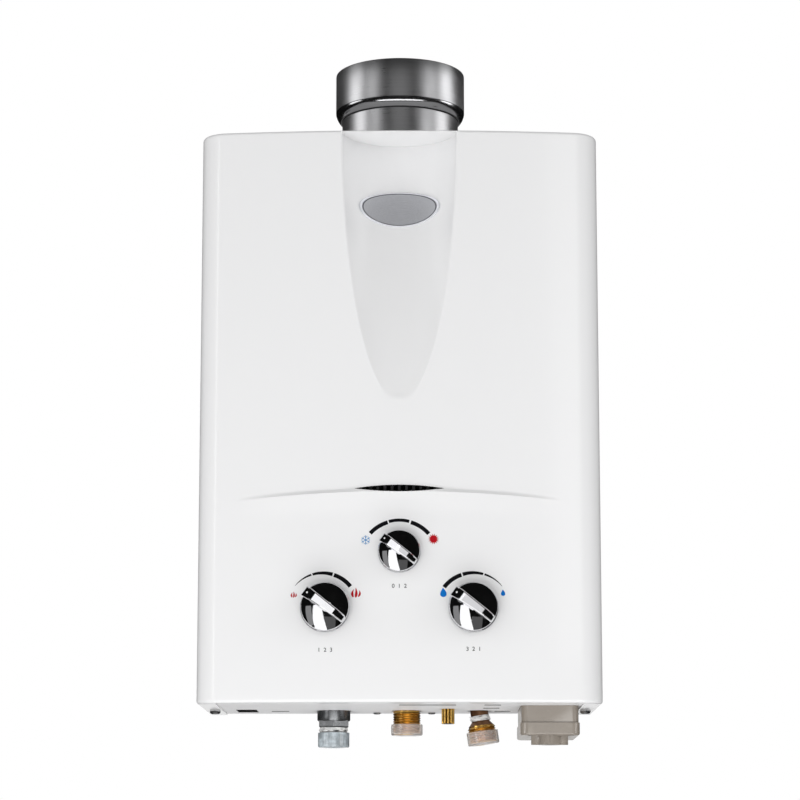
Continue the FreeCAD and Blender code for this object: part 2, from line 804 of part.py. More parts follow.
def cover_screws():
    low = [pan_head(x, y, floor_z, screw_radius, screw_head_radius, screw_head_height, screw_length, 1)
           for x, y in cover_screws_at]
    high = [pan_head(x, y, top_z, screw_radius, screw_head_radius, screw_head_height, screw_length, -1)
            for x, y in top_screws_at]
    return group(low + high)


def plate_screws():
    return group([pan_head(x, deep(plate_screw_depth), floor_z + sheet, plate_screw_radius, plate_screw_head,
                           0.6 * screw_head_height, screw_length, 1) for x in plate_screw_x])


def badge_plate():
    axis = V(0, math.sin(tilt), math.cos(tilt))
    centre = V(0, deep(0), top_z)
    start = centre - axis * scoop_length
    outer = scoop_radius - badge_film
    band = tube(outer, outer - badge_thickness, start, centre)
    oval = Part.Ellipse(V(0, 0, 0), badge_width / 2, badge_height / 2).toShape()
    face = Part.Face(Part.Wire(oval))
    face.rotate(V(0, 0, 0), V(1, 0, 0), 90)
    face.translate(V(0, deep(-sheet), top_z - badge_top_drop))
    return face.extrude(V(0, case_depth / 2, 0)).common(band)


def sight_grille():
    half = slot_width / 2 + grille_margin
    z0, z1 = up(slot_up - slot_height / 2 - grille_margin), up(slot_up + slot_height / 2 + grille_margin)
    seat = sheet + panel_gap
    skin = plan_prism(seat, 0, z0, z1).cut(plan_prism(seat + grille_thickness, 1, z0 - 1, z1 + 1))
    plate = skin.common(block(-half, half, deep(0), 0, z0, z1))
    count = int(slot_width // grille_pitch)
    first = -grille_pitch * (count - 1) / 2
    gap = grille_pitch - grille_bar
    windows = [block(first + i * grille_pitch - gap / 2, first + i * grille_pitch + gap / 2, deep(0), 0,
                     z0 + grille_land, z1 - grille_land) for i in range(count)]
    return plate.cut(group(windows))


# ---- knobs ---------------------------------------------------------------------------------------
def knob_back_y():
    """Flat plane of the knobs' backs, clear of the bowed front at its nearest point."""
    return deep(0) - knob_gap


def spindle_end(x, z, radius, flat, y0, y1):
    bar = rod(radius, V(x, y0, z), V(x, y1, z))
    return bar.cut(block(x - radius, x + radius, y0 - 1, y1 + 1, z + flat, z + 2 * radius))


def knob(x, height, scale):
    """Turned skirt and dome with a tapering grip across it. Built on the Z axis, then laid forward."""
    ring = [V(0, 0, 0), V(knob_radius, 0, 0), V(knob_radius, 0, 0.6 * knob_ring),
            V(knob_radius - knob_ring_edge, 0, knob_ring), V(knob_dome_radius, 0, knob_ring)]
    side = V(knob_dome_radius - knob_draft, 0, knob_ring + knob_skirt)
    crown = V(0, 0, knob_dome_height)
    shoulder = V(0.74 * knob_dome_radius, 0, 0.78 * knob_dome_height)
    edges = [Part.makeLine(a, b) for a, b in zip(ring, ring[1:] + [side])]
    edges += [Part.Arc(side, shoulder, crown).toShape(), Part.makeLine(crown, ring[0])]
    dome = Part.Face(Part.Wire(edges)).revolve(V(0, 0, 0), V(0, 0, 1), 360)
    tip, tail = 1.07 * knob_dome_radius, -0.99 * knob_dome_radius
    plan_of_grip = [V(tip, -grip_wide / 2, 0), V(tip, grip_wide / 2, 0),
                    V(tail, grip_narrow / 2, 0), V(tail, -grip_narrow / 2, 0)]
    upright = Part.Face(Part.makePolygon(plan_of_grip + plan_of_grip[:1])).extrude(V(0, 0, 2 * knob_height))
    low = knob_ring + grip_foot
    near = -knob_radius
    profile = [V(tail, near, low), V(tail, near, 0.58 * knob_height),
               V(tail + grip_rear_lean, near, 0.94 * knob_height), V(tip - grip_front_lean, near, knob_height),
               V(tip, near, 0.80 * knob_height), V(tip - knob_ring_edge, near, low)]
    across = Part.Face(Part.makePolygon(profile + profile[:1])).extrude(V(0, 2 * knob_radius, 0))
    grip = upright.common(across)
    ridge = [e for e in grip.Edges if e.BoundBox.ZMin > 0.4 * knob_height and e.Length > 0.5 * grip_narrow]
    grip = grip.makeFillet(grip_edge, ridge)
    body = joined(dome, grip)
    if scale != 1.0:
        body.scale(scale)
    body.rotate(V(0, 0, 0), V(0, 0, 1), knob_angle)
    body.rotate(V(0, 0, 0), V(1, 0, 0), 90)
    y = knob_back_y()
    body.translate(V(x, y, up(height)))
    bore = spindle_end(x, up(height), spindle_radius + spindle_fit, spindle_flat + spindle_fit,
                       y - spindle_grip - spindle_top_gap, y + knob_gap)
    return body.cut(bore)


def spindle(x, height, boss_front):
    """Stepped spindle: flatted end in the knob, shoulder running in the valve's boss."""
    z = up(height)
    y = knob_back_y()
    lead = V(x, deep(boss_front - shoulder_lead), z)
    waist = V(x, deep(spindle_flat_depth), z)
    nose = spindle_end(x, z, spindle_radius, spindle_flat, y - spindle_grip, deep(spindle_flat_depth))
    return joined(nose, rod(spindle_radius, waist, lead),
                  rod(shoulder_radius, lead, V(x, deep(boss_front + shoulder_length), z)))


def spindle_bore(x, height, boss_front):
    z = up(height)
    return rod(shoulder_radius + running, V(x, deep(boss_front - 2 * shoulder_lead), z),
               V(x, deep(boss_front + shoulder_length + shoulder_lead / 2), z))


# ---- flue ----------------------------------------------------------------------------------------
def flue_neck():
    y = deep(flue_depth)
    inner = flue_radius - flue_sheet
    deck = up(hood_deck_up) + core_sheet
    end = top_z + collar_wall_rise - neck_end_gap
    foot = flue_radius + flue_foot
    profile = [(inner, deck), (foot, deck), (foot, deck + flue_sheet), (flue_radius, deck + flue_sheet),
               (flue_radius, end), (inner, end)]
    return turned(profile, 0, y)


def flue_collar():
    y = deep(flue_depth)
    grip = flue_radius + running
    bore = collar_radius - flue_sheet
    foot, turn, wall, rim = (top_z + rise for rise in (collar_grip_rise, collar_turn_rise, collar_wall_rise,
                                                       collar_rim_rise))
    swell = collar_radius - collar_throat
    mid = V(collar_throat + swell * math.sin(math.radians(45)), y,
            wall - (wall - foot) * math.cos(math.radians(45)))
    edges = [Part.makeLine(V(grip, y, foot), V(collar_throat, y, foot))]
    edges.append(Part.Arc(V(collar_throat, y, foot), mid, V(collar_radius, y, wall)).toShape())
    rest = [V(collar_radius, y, wall), V(collar_radius, y, rim), V(bore, y, rim),
            V(bore, y, wall + 0.5 * flue_sheet), V(grip + 0.5 * flue_sheet, y, turn + 1.5 * flue_sheet),
            V(grip, y, turn), V(grip, y, foot)]
    edges += [Part.makeLine(a, b) for a, b in zip(rest, rest[1:])]
    return Part.Face(Part.Wire(edges)).revolve(V(0, y, 0), V(0, 0, 1), 360)


def frustum(x0, y0, y1, z0, x2, y2, y3, z1, inset):
    lower = [V(-x0 + inset, y0 + inset, z0), V(x0 - inset, y0 + inset, z0),
             V(x0 - inset, y1 - inset, z0), V(-x0 + inset, y1 - inset, z0)]
    upper = [V(-x2 + inset, y2 + inset, z1), V(x2 - inset, y2 + inset, z1),
             V(x2 - inset, y3 - inset, z1), V(-x2 + inset, y3 - inset, z1)]
    return Part.makeLoft([Part.makePolygon(w + w[:1]) for w in (lower, upper)], True, True)


def draft_hood():
    z0, z1 = up(exchanger_top_up), up(hood_deck_up)
    sizes = (core_half, deep(core_front), deep(core_rear), z0,
             hood_deck_half, deep(hood_deck_front), deep(hood_deck_rear), z1)
    hood = frustum(*sizes, 0).cut(frustum(*sizes, core_sheet))
    deck = block(-hood_deck_half, hood_deck_half, deep(hood_deck_front), deep(hood_deck_rear), z1, z1 + core_sheet)
    y = deep(flue_depth)
    deck = deck.cut(rod(flue_radius - flue_sheet, V(0, y, z1 - core_sheet), V(0, y, z1 + 2 * core_sheet)))
    slots = block(-case_width, case_width, deep(core_front + hood_slot_end), deep(core_rear - hood_slot_end),
                  z0 + hood_slot_foot, z0 + hood_slot_foot + hood_slot_height)
    return joined(hood, deck).cut(slots)


# ---- hot stack -----------------------------------------------------------------------------------
tube_rows = [deep(core_rear) - tube_rear_room - tube_pitch * i for i in range(3)]


def sleeve(z0, z1):
    """Open rectangular duct of the hot stack."""
    t = core_sheet
    front, rear = deep(core_front), deep(core_rear)
    return block(-core_half, core_half, front, rear, z0, z1).cut(
        block(-core_half + t, core_half - t, front + t, rear - t, z0 - 1, z1 + 1))


def combustion_chamber():
    duct = sleeve(up(chamber_foot_up), up(exchanger_foot_up))
    low = up(chamber_foot_up) + sight_foot
    front = deep(core_front)
    return duct.cut(block(-sight_half, sight_half, front - core_sheet, front + 2 * core_sheet, low, low + sight_height))


def heat_exchanger_jacket():
    duct = sleeve(up(exchanger_foot_up), up(exchanger_top_up))
    holes = [rod(tube_radius + fin_hole_gap, V(-core_half - 1, y, up(tube_up)), V(core_half + 1, y, up(tube_up)))
             for y in tube_rows]
    return duct.cut(group(holes))


def heat_exchanger_fins():
    first = -fin_pitch * (fin_count - 1) / 2
    margin = core_sheet + panel_gap
    y0, y1 = deep(core_front) + margin, deep(core_rear) - margin
    z0, z1 = up(exchanger_foot_up + fin_foot), up(exchanger_top_up - fin_top)
    holes = group([rod(tube_radius + fin_hole_gap, V(-core_half, y, up(tube_up)), V(core_half, y, up(tube_up)))
                   for y in tube_rows])
    fins = []
    for i in range(fin_count):
        x = first + i * fin_pitch
        fins.append(block(x - fin_thickness / 2, x + fin_thickness / 2, y0, y1, z0, z1).cut(holes))
    return group(fins)


def heat_exchanger_tube():
    """Serpentine: in at the front on the right, out at the rear on the left."""
    z = up(tube_up)
    far = core_half + tube_reach
    rear, middle, front = tube_rows
    points = [V(core_half + tube_end, front, z), V(-far, front, z), V(-far, middle, z),
              V(far, middle, z), V(far, rear, z), V(-core_half - tube_end, rear, z)]
    return bent_tube(points, tube_pitch / 2 - 0.001, tube_radius, tube_wall)


def burner_tray():
    t = core_sheet
    z0, z1 = up(tray_floor_up), up(chamber_foot_up)
    front, rear = deep(core_front), deep(core_rear)
    tray = block(-core_half, core_half, front, rear, z0, z1).cut(
        block(-core_half + t, core_half - t, front + t, rear - t, z0 + t, z1 + 1))
    mouth = block(-bar_pitch * bar_count / 2, bar_pitch * bar_count / 2, front - t, front + 2 * t,
                  z0 + tray_mouth_foot, up(manifold_up) + tray_mouth_rise)
    side = core_half - tray_vent_side
    pitch = (core_rear - core_front - tray_vent_front) / tray_vents
    starts = [front + tray_vent_front + pitch * i for i in range(tray_vents)]
    vents_below = [block(-side, side, y, y + tray_vent_width, z0 - t, z0 + 2 * t) for y in starts]
    probes = [rod(electrode_radius + fin_hole_gap, V(x, front - t, up(electrode_up)),
                  V(x, front + 2 * t, up(electrode_up))) for x in electrode_x]
    return tray.cut(group([mouth] + vents_below + probes))


def burner_bars():
    """Pressed burner blades: a flared mouth at the front, a throat, and a long flame head."""
    z0, z1 = up(tray_floor_up) + core_sheet, up(bar_top_up)
    front, rear = deep(core_front) + bar_front_gap, deep(core_rear) - bar_rear_gap
    throat = z0 + (bar_mouth_foot + bar_mouth_top + bar_mouth_top) / 3 + core_sheet
    side = [V(0, front, z0 + bar_mouth_foot), V(0, front, z0 + bar_mouth_top), V(0, front + bar_throat, throat),
            V(0, front + bar_neck, throat + bar_groove), V(0, front + bar_head_front, z0 + bar_head_foot),
            V(0, front + bar_head_front, z1), V(0, rear, z1), V(0, rear, z0), V(0, front + bar_throat, z0)]
    bars = []
    for i in range(bar_count):
        x = bar_pitch * (i - (bar_count - 1) / 2) - bar_thickness / 2
        face = Part.Face(Part.makePolygon(side + side[:1]))
        face.translate(V(x, 0, 0))
        bar = face.extrude(V(bar_thickness, 0, 0))
        groove = block(x + (bar_thickness - bar_groove) / 2, x + (bar_thickness + bar_groove) / 2,
                       front + bar_throat, rear - bar_groove_depth, z1 - bar_groove_depth, z1 + bar_groove)
        bars.append(bar.cut(groove))
    return group(bars)


def gas_manifold():
    z = up(manifold_up)
    half = bar_pitch * bar_count / 2
    s = manifold_size / 2
    y0 = deep(manifold_front)
    rail = block(-half, half, y0, y0 + manifold_size, z - s, z + s)
    inlet = rod(s, V(0, y0 + s, up(season_top_up)), V(0, y0 + s, z))
    jets = []
    for i in range(bar_count):
        x = bar_pitch * (i - (bar_count - 1) / 2)
        jets.append(rod(jet_radius, V(x, y0 + manifold_size - jet_reach, z), V(x, y0 + manifold_size + jet_reach, z)))
    return joined(rail, inlet, *jets)


electrode_x = (-2 * bar_pitch, 2 * bar_pitch)


def electrode(x):
    """Ceramic sleeve through the tray's front, with a wire over the burner bars."""
    z = up(electrode_up)
    front = deep(core_front)
    ceramic = rod(electrode_radius, V(x, front - electrode_out, z), V(x, front + electrode_in, z))
    wire = rod(electrode_wire_radius, V(x, front, z), V(x, front + electrode_wire, z))
    tag = rod(electrode_tag_radius, V(x, front - electrode_out - electrode_tag, z), V(x, front - electrode_out + 1, z))
    return joined(ceramic, wire, tag)


def stack_brackets():
    """Z-shaped straps that carry the hot stack on the back plate."""
    y0, y1 = deep(core_rear), -frame_sheet
    straps = []
    for foot in bracket_ups:
        z0, z1 = up(foot), up(foot) + bracket_height
        for side in (-1, 1):
            x0 = side * bracket_x - bracket_width / 2
            x1 = x0 + bracket_width
            straps.append(joined(
                block(x0, x1, y0, y0 + frame_sheet, z0 - bracket_flange, z0 + frame_sheet),
                block(x0, x1, y0, y1, z0, z0 + frame_sheet),
                block(x0, x1, y1 - frame_sheet, y1, z0, z1)))
    return group(straps)


# ---- gas side ------------------------------------------------------------------------------------
def gas_valve_body():
    x0, x1 = -gas_valve_left, -gas_valve_right
    y = deep(port_depth)
    z0, z1 = up(valve_foot_up), up(valve_top_up)
    boss_z = up(outer_knob_up)
    main = block(x0, x1, deep(gas_valve_front), deep(gas_valve_rear), z0, z1)
    main = main.makeFillet(valve_edge, [e for e in main.Edges if abs(e.BoundBox.ZLength - (z1 - z0)) < 1e-6])
    boss = rod(gas_boss_radius, V(-knob_spread, deep(gas_boss_front), boss_z),
               V(-knob_spread, deep(gas_valve_front + valve_edge), boss_z))
    inlet = rod(gas_body_radius - sheet, V(gas_x, y, up(port_stub_up)), V(gas_x, y, z0 + valve_edge))
    rod_z, rod_y = up(rod_up), deep(rod_depth)
    port = rod(gas_port_radius, V(x1 - valve_edge, rod_y, rod_z), V(x1 + gas_port_reach, rod_y, rod_z))
    outlet = rod(gas_outlet_radius, V(gas_link_x, rod_y, z1 - valve_edge), V(gas_link_x, rod_y, z1 + gas_outlet_rise))
    body = joined(main, boss, inlet, port, outlet)
    cuts = [spindle_bore(-knob_spread, outer_knob_up, gas_boss_front),
            rod(rod_radius + running, V(rod_left - rod_travel - rod_end_room, rod_y, rod_z),
                V(x1 + gas_port_reach + sheet, rod_y, rod_z)),
            rod(gas_bore_radius, V(gas_x, y, up(port_stub_up) - sheet), V(gas_x, y, z0 + 2 * valve_edge)),
            rod(pipe_radius - pipe_wall, V(gas_link_x, rod_y, z1 - 2 * valve_edge),
                V(gas_link_x, rod_y, z1 + gas_outlet_rise + sheet))]
    return body.cut(group(cuts))


def gas_solenoid():
    y = deep(rod_depth)
    z0, z1 = up(valve_top_up), up(solenoid_top_up)
    pad = solenoid_radius + solenoid_flange
    can = rod(solenoid_radius, V(solenoid_x, y, z0), V(solenoid_x, y, z1))
    flange = block(solenoid_x - pad, solenoid_x + pad, y - pad, y + pad, z0, z0 + solenoid_flange)
    tip = rod(solenoid_tip_radius, V(solenoid_x, y, z1 - sheet), V(solenoid_x, y, z1 + solenoid_tip))
    return joined(can, flange, tip)


def season_valve_body():
    y0, y1 = deep(season_front), deep(season_rear)
    main = block(-season_half, season_half, y0, y1, up(season_foot_up), up(season_top_up))
    upright = [e for e in main.Edges if abs(e.BoundBox.ZLength - 2 * season_half_height) < 1e-6]
    main = main.makeFillet(season_edge, upright)
    z, y = up(centre_knob_up), y1 - season_inlet_from_rear
    inlet = rod(season_inlet_radius, V(-season_half - season_inlet_reach, y, z), V(-season_half + season_edge, y, z))
    return joined(main, inlet).cut(spindle_bore(0, centre_knob_up, season_front))


def gas_link_pipe():
    z0, z1 = up(valve_top_up) + gas_outlet_rise, up(centre_knob_up)
    y0, y1 = deep(rod_depth), deep(season_rear - season_inlet_from_rear)
    points = [V(gas_link_x, y0, z0), V(gas_link_x, y0, z1), V(gas_link_x, y1, z1),
              V(-season_half - season_inlet_reach, y1, z1)]
    return bent_tube(points, link_bend, pipe_radius, pipe_wall)


def port_bar(x, drop0, drop1, radius):
    y = deep(port_depth)
    return rod(radius, V(x, y, up(-drop0)), V(x, y, up(-drop1)))


def gas_inlet_fitting():
    y = deep(port_depth)
    body = rod(gas_body_radius, V(gas_x, y, up(port_stub_up)), V(gas_x, y, up(-gas_body_drop)))
    hexa = hexagon(gas_hex_flats, V(gas_x, y, up(-gas_hex_drop)), V(gas_x, y, up(-gas_body_drop)))
    thread = port_bar(gas_x, gas_hex_drop, gas_cap_drop - cap_floor - cap_end_gap, thread_radius)
    thread = thread.makeChamfer(thread_chamfer, [e for e in thread.Edges if e.BoundBox.ZMax < up(-gas_tape_drop)
                                                 and e.BoundBox.ZLength < 1e-6])
    bore = rod(gas_bore_radius, V(gas_x, y, up(-gas_cap_drop)), V(gas_x, y, up(port_stub_up) + sheet))
    return joined(body, hexa, thread).cut(bore)


def gas_seal_tape():
    y = deep(port_depth)
    low, high = V(gas_x, y, up(-gas_tape_drop + tape_end)), V(gas_x, y, up(-gas_hex_drop))
    return tube(thread_radius + tape_thickness, thread_radius, low, high)


def cap_along(start, way, length):
    """Thin protective cap: open at its start, closed at its end."""
    end = start + way * length
    outer = rod(cap_radius, start, end)
    far = [e for e in outer.Edges if e.Length > cap_radius and (e.CenterOfMass - end).Length < 1e-3]
    outer = outer.makeFillet(cap_edge, far)
    return outer.cut(rod(cap_radius - cap_wall, start - way, end - way * cap_floor))


def gas_inlet_cap():
    start = V(gas_x, deep(port_depth), up(-gas_tape_drop))
    return cap_along(start, V(0, 0, -1), gas_cap_drop - gas_tape_drop)


# ---- water side ----------------------------------------------------------------------------------
def hot_outlet_fitting():
    y = deep(port_depth)
    seat = up(2 * sheet)
    thread = rod(thread_radius, V(hot_x, y, up(-hot_cap_drop + cap_floor + cap_end_gap)), V(hot_x, y, floor_z))
    shank = rod(thread_radius - thread_relief, V(hot_x, y, floor_z - sheet), V(hot_x, y, seat + sheet))
    thread = thread.makeChamfer(thread_chamfer, [e for e in thread.Edges if e.BoundBox.ZMax < up(-hot_cap_top_drop)
                                                 and e.BoundBox.ZLength < 1e-6])
    nut = hexagon(hot_nut_flats, V(hot_x, y, seat), V(hot_x, y, seat + hot_nut_height))
    socket = rod(pipe_radius + hot_socket_wall, V(hot_x, y, seat + sheet), V(hot_x, y, up(port_stub_up)))
    bore = rod(pipe_radius - pipe_wall, V(hot_x, y, up(-hot_cap_drop)), V(hot_x, y, up(port_stub_up) + sheet))
    return joined(thread, shank, nut, socket).cut(bore)


def hot_outlet_cap():
    start = V(hot_x, deep(port_depth), up(-hot_cap_top_drop))
    return cap_along(start, V(0, 0, -1), hot_cap_drop - hot_cap_top_drop)


cold_way = V(math.sin(math.radians(cold_tilt)), 0, -math.cos(math.radians(cold_tilt)))
cold_origin = V(cold_x, deep(port_depth), floor_z)


def along_cold(distance):
    return cold_origin + cold_way * distance


def cold_inlet_fitting():
    """Union that leans a little: a neck into the water valve and a threaded nose below."""
    thread_end = cold_cap_end - cap_floor - cap_end_gap
    neck = rod(cold_neck_radius, along_cold(-2 * port_stub_up), along_cold(cold_thread_start))
    cone = Part.makeCone(cold_neck_radius, thread_radius - thread_chamfer, cold_cone,
                         along_cold(cold_thread_start - cold_cone), cold_way)
    thread = rod(thread_radius, along_cold(cold_thread_start), along_cold(thread_end))
    below = block(0, case_width, -case_depth, 0, -case_height, up(port_stub_up))
    body = joined(neck, cone, thread)
    bore = rod(cold_bore_radius, along_cold(-3 * port_stub_up), along_cold(cold_cap_end))
    return body.cut(bore).common(below)


def cold_seal_tape():
    return tube(cold_neck_radius + 3 * tape_thickness, cold_neck_radius, along_cold(cold_tape_start),
                along_cold(cold_tape_end))


def cold_inlet_cap():
    return cap_along(along_cold(cold_cap_start), cold_way, cold_cap_end - cold_cap_start)


def water_valve_body():
    x0, x1 = water_body_left, water_body_right
    z0, z1 = up(valve_foot_up), up(valve_top_up)
    rod_y, rod_z = deep(rod_depth), up(rod_up)
    face_x = diaphragm_x + diaphragm_thickness
    main = block(x0, x1, deep(water_body_front), deep(water_body_rear), z0, z1)
    main = main.makeFillet(valve_edge, [e for e in main.Edges if abs(e.BoundBox.ZLength - (z1 - z0)) < 1e-6])
    disc = rod(diaphragm_radius, V(face_x, rod_y, rod_z), V(x0 + valve_edge, rod_y, rod_z))
    boss = rod(water_boss_radius, V(knob_spread, deep(water_boss_front), up(outer_knob_up)),
               V(knob_spread, deep(water_body_front + 2 * valve_edge), up(outer_knob_up)))
    cold_y = deep(port_depth)
    stub = rod(cold_stub_radius, V(cold_x, cold_y, up(port_stub_up)), V(cold_x, cold_y, z0 + valve_edge))
    out_y = deep(water_out_depth)
    outlet = rod(water_out_radius, V(water_out_x, out_y, z1 - valve_edge), V(water_out_x, out_y, up(water_out_up)))
    drain_y = deep(drain_depth)
    arm_foot, arm_top = up(drain_stem_top_up + drain_arm_foot), up(drain_stem_top_up + drain_arm_top)
    drain = rod(drain_boss_radius, V(drain_x, drain_y, up(drain_boss_foot_up)),
                V(drain_x, drain_y, up(drain_stem_top_up) + valve_edge))
    arm = block(drain_x, x0 + 2 * valve_edge, drain_y - drain_arm, drain_y + drain_arm, arm_foot, arm_top)
    web = block(x0 + sheet / 2, x0 + 2 * valve_edge, drain_y - drain_arm, drain_y + drain_arm, arm_foot,
                z0 + valve_edge)
    body = joined(main, disc, boss, stub, outlet, drain, arm, web)
    cuts = [spindle_bore(knob_spread, outer_knob_up, water_boss_front),
            rod(drain_stem_radius + running, V(drain_x, drain_y, up(drain_boss_foot_up) - sheet),
                V(drain_x, drain_y, up(drain_stem_top_up) + sheet / 2)),
            rod(cold_bore_radius, V(cold_x, cold_y, up(port_stub_up) - sheet), V(cold_x, cold_y, z0 + 3 * valve_edge)),
            rod(pipe_radius - pipe_wall, V(water_out_x, out_y, z1 - 2 * valve_edge),
                V(water_out_x, out_y, up(water_out_up) + sheet)),
            rod(diaphragm_cavity, V(face_x - sheet, rod_y, rod_z), V(face_x + diaphragm_back_cavity, rod_y, rod_z))]
    return body.cut(group(cuts))


def diaphragm():
    rod_y, rod_z = deep(rod_depth), up(rod_up)
    return rod(diaphragm_radius - diaphragm_rim, V(diaphragm_x, rod_y, rod_z),
               V(diaphragm_x + diaphragm_thickness, rod_y, rod_z))


def diaphragm_cover():
    rod_y, rod_z = deep(rod_depth), up(rod_up)
    left = diaphragm_x - diaphragm_cover_length
    disc = rod(diaphragm_radius, V(left, rod_y, rod_z), V(diaphragm_x, rod_y, rod_z))
    gland = rod(gland_radius, V(left - gland_length, rod_y, rod_z), V(left + sheet, rod_y, rod_z))
    cavity = rod(diaphragm_cavity, V(diaphragm_x - diaphragm_cavity_depth, rod_y, rod_z),
                 V(diaphragm_x + sheet, rod_y, rod_z))
    bore = rod(rod_radius + running, V(left - gland_length - sheet, rod_y, rod_z), V(diaphragm_x, rod_y, rod_z))
    return joined(disc, gland).cut(cavity).cut(bore)


def diaphragm_screws():
    rod_y, rod_z = deep(rod_depth), up(rod_up)
    left = diaphragm_x - diaphragm_cover_length
    heads = []
    for i in range(6):
        turn = math.radians(60 * i + 30)
        y = rod_y + diaphragm_screw_ring * math.cos(turn)
        z = rod_z + diaphragm_screw_ring * math.sin(turn)
        heads.append(rod(diaphragm_screw_radius, V(left - diaphragm_screw_head, y, z), V(left, y, z)))
    return group(heads)


def push_rod():
    rod_y, rod_z = deep(rod_depth), up(rod_up)
    right = diaphragm_x - plunger_gap
    shaft = rod(rod_radius, V(rod_left, rod_y, rod_z), V(right - rod_head_length / 2, rod_y, rod_z))
    head = rod(rod_head_radius, V(right - rod_head_length, rod_y, rod_z), V(right, rod_y, rod_z))
    collar = rod(rod_collar_radius, V(rod_collar_x, rod_y, rod_z), V(rod_collar_x + rod_collar_length, rod_y, rod_z))
    return joined(shaft, head, collar)


def micro_switch():
    y, z0, z1 = deep(rod_depth), up(switch_foot_up), up(switch_foot_up + switch_height)
    half = switch_width / 2
    body = block(switch_body_left, switch_body_right, y - half, y + half, z0, z1)
    bore = rod(plunger_radius + running, V(switch_body_right - switch_bore, y, up(plunger_up)),
               V(switch_body_right + sheet, y, up(plunger_up)))
    foot = block(-gas_valve_right, switch_body_left + sheet, y - half, y + half, z1 - switch_arm, z1)
    return joined(body, foot).cut(bore)


def switch_plunger():
    y, z = deep(rod_depth), up(plunger_up)
    return rod(plunger_radius, V(switch_body_right - plunger_inside, y, z), V(rod_collar_x - plunger_gap, y, z))


def cold_water_pipe():
    """From the water valve up the right side to the exchanger."""
    z0, z1 = up(water_out_up), up(tube_up)
    y0, y1 = deep(water_out_depth), tube_rows[2]
    turn = z0 + riser_kick
    points = [V(water_out_x, y0, z0), V(water_out_x, y0, turn), V(riser_x, y1, turn), V(riser_x, y1, z1),
              V(core_half + tube_end, y1, z1)]
    return bent_tube(points, pipe_bend, pipe_radius, pipe_wall)


def hot_water_pipe():
    """From the exchanger down the left side, under the burner, to the hot outlet."""
    z0, z1 = up(tube_up), up(hot_run_up)
    y = tube_rows[0]
    points = [V(-core_half - tube_end, y, z0), V(-riser_x, y, z0), V(-riser_x, y, z1), V(hot_x, y, z1),
              V(hot_x, y, up(port_stub_up))]
    return bent_tube(points, pipe_bend, pipe_radius, pipe_wall)


def drain_stem():
    y = deep(drain_depth)
    foot = up(drain_knob_top_up) + drain_gap
    return rod(drain_stem_radius, V(drain_x, y, foot), V(drain_x, y, up(drain_stem_top_up)))


def drain_knob():
    """Ribbed screw head: ribs are a ring of shallow half-round flutes."""
    y = deep(drain_depth)
    low, high = up(-drain_knob_drop), up(drain_knob_top_up)
    head = rod(drain_knob_radius, V(drain_x, y, low), V(drain_x, y, high))
    flutes = []
    for i in range(drain_ribs):
        turn = 2 * math.pi * (i + 0.5) / drain_ribs
        fx = drain_x + (drain_knob_radius + drain_flute_out) * math.cos(turn)
        fy = y + (drain_knob_radius + drain_flute_out) * math.sin(turn)
        flutes.append(rod(drain_flute_radius, V(fx, fy, low - drain_gap), V(fx, fy, high + drain_gap)))
    slot = block(drain_x - drain_slot / 2, drain_x + drain_slot / 2, y - 2 * drain_knob_radius,
                 y + 2 * drain_knob_radius, low - drain_slot, low + drain_slot)
    return head.cut(group(flutes)).cut(slot)


# ---- ignition ------------------------------------------------------------------------------------
def igniter_box():
    rear = -frame_sheet
    body = block(igniter_left, igniter_right, rear - igniter_deep, rear, up(igniter_foot_up), up(igniter_top_up))
    return body.makeFillet(igniter_edge, [e for e in body.Edges if e.BoundBox.YMax < rear - igniter_edge / 2])


def overheat_switch():
    z = up(tube_up)
    front = deep(core_front)
    can = rod(stat_radius, V(stat_x, front - stat_length, z), V(stat_x, front, z))
    half = stat_pin_sheet / 2
    pins = [block(x - half, x + half, front - stat_length - stat_pin, front - stat_length + half,
                  z - stat_pin_half, z + stat_pin_half) for x in (stat_x - stat_pin_gap, stat_x + stat_pin_gap)]
    return joined(can, *pins)


# ---- battery case --------------------------------------------------------------------------------
def battery_box(grow, z0, z1):
    """Upright rounded bar of the battery case's plan, grown by so much all round."""
    x0, x1 = battery_left - grow, battery_left + battery_case_width + grow
    y0 = deep(battery_front) - grow
    y1 = deep(battery_front + battery_case_depth) + grow
    bar = block(x0, x1, y0, y1, z0, z1)
    upright = [e for e in bar.Edges if abs(e.BoundBox.ZLength - (z1 - z0)) < 1e-6]
    return bar.makeFillet(battery_corner + grow, upright)


case_rear_y = deep(battery_front + battery_case_depth)
case_front_y = deep(battery_front)
hinge_y = case_rear_y + hinge_back
hinge_z = up(-hinge_drop)
battery_right = battery_x + battery_case_width / 2
ear_spans = [(battery_left + ear_inset, battery_left + ear_inset + ear_length),
             (battery_right - ear_inset - ear_length, battery_right - ear_inset)]
cell_rows = [(case_front_y + case_rear_y) / 2 + side * cell_pitch / 2 for side in (-1, 1)]


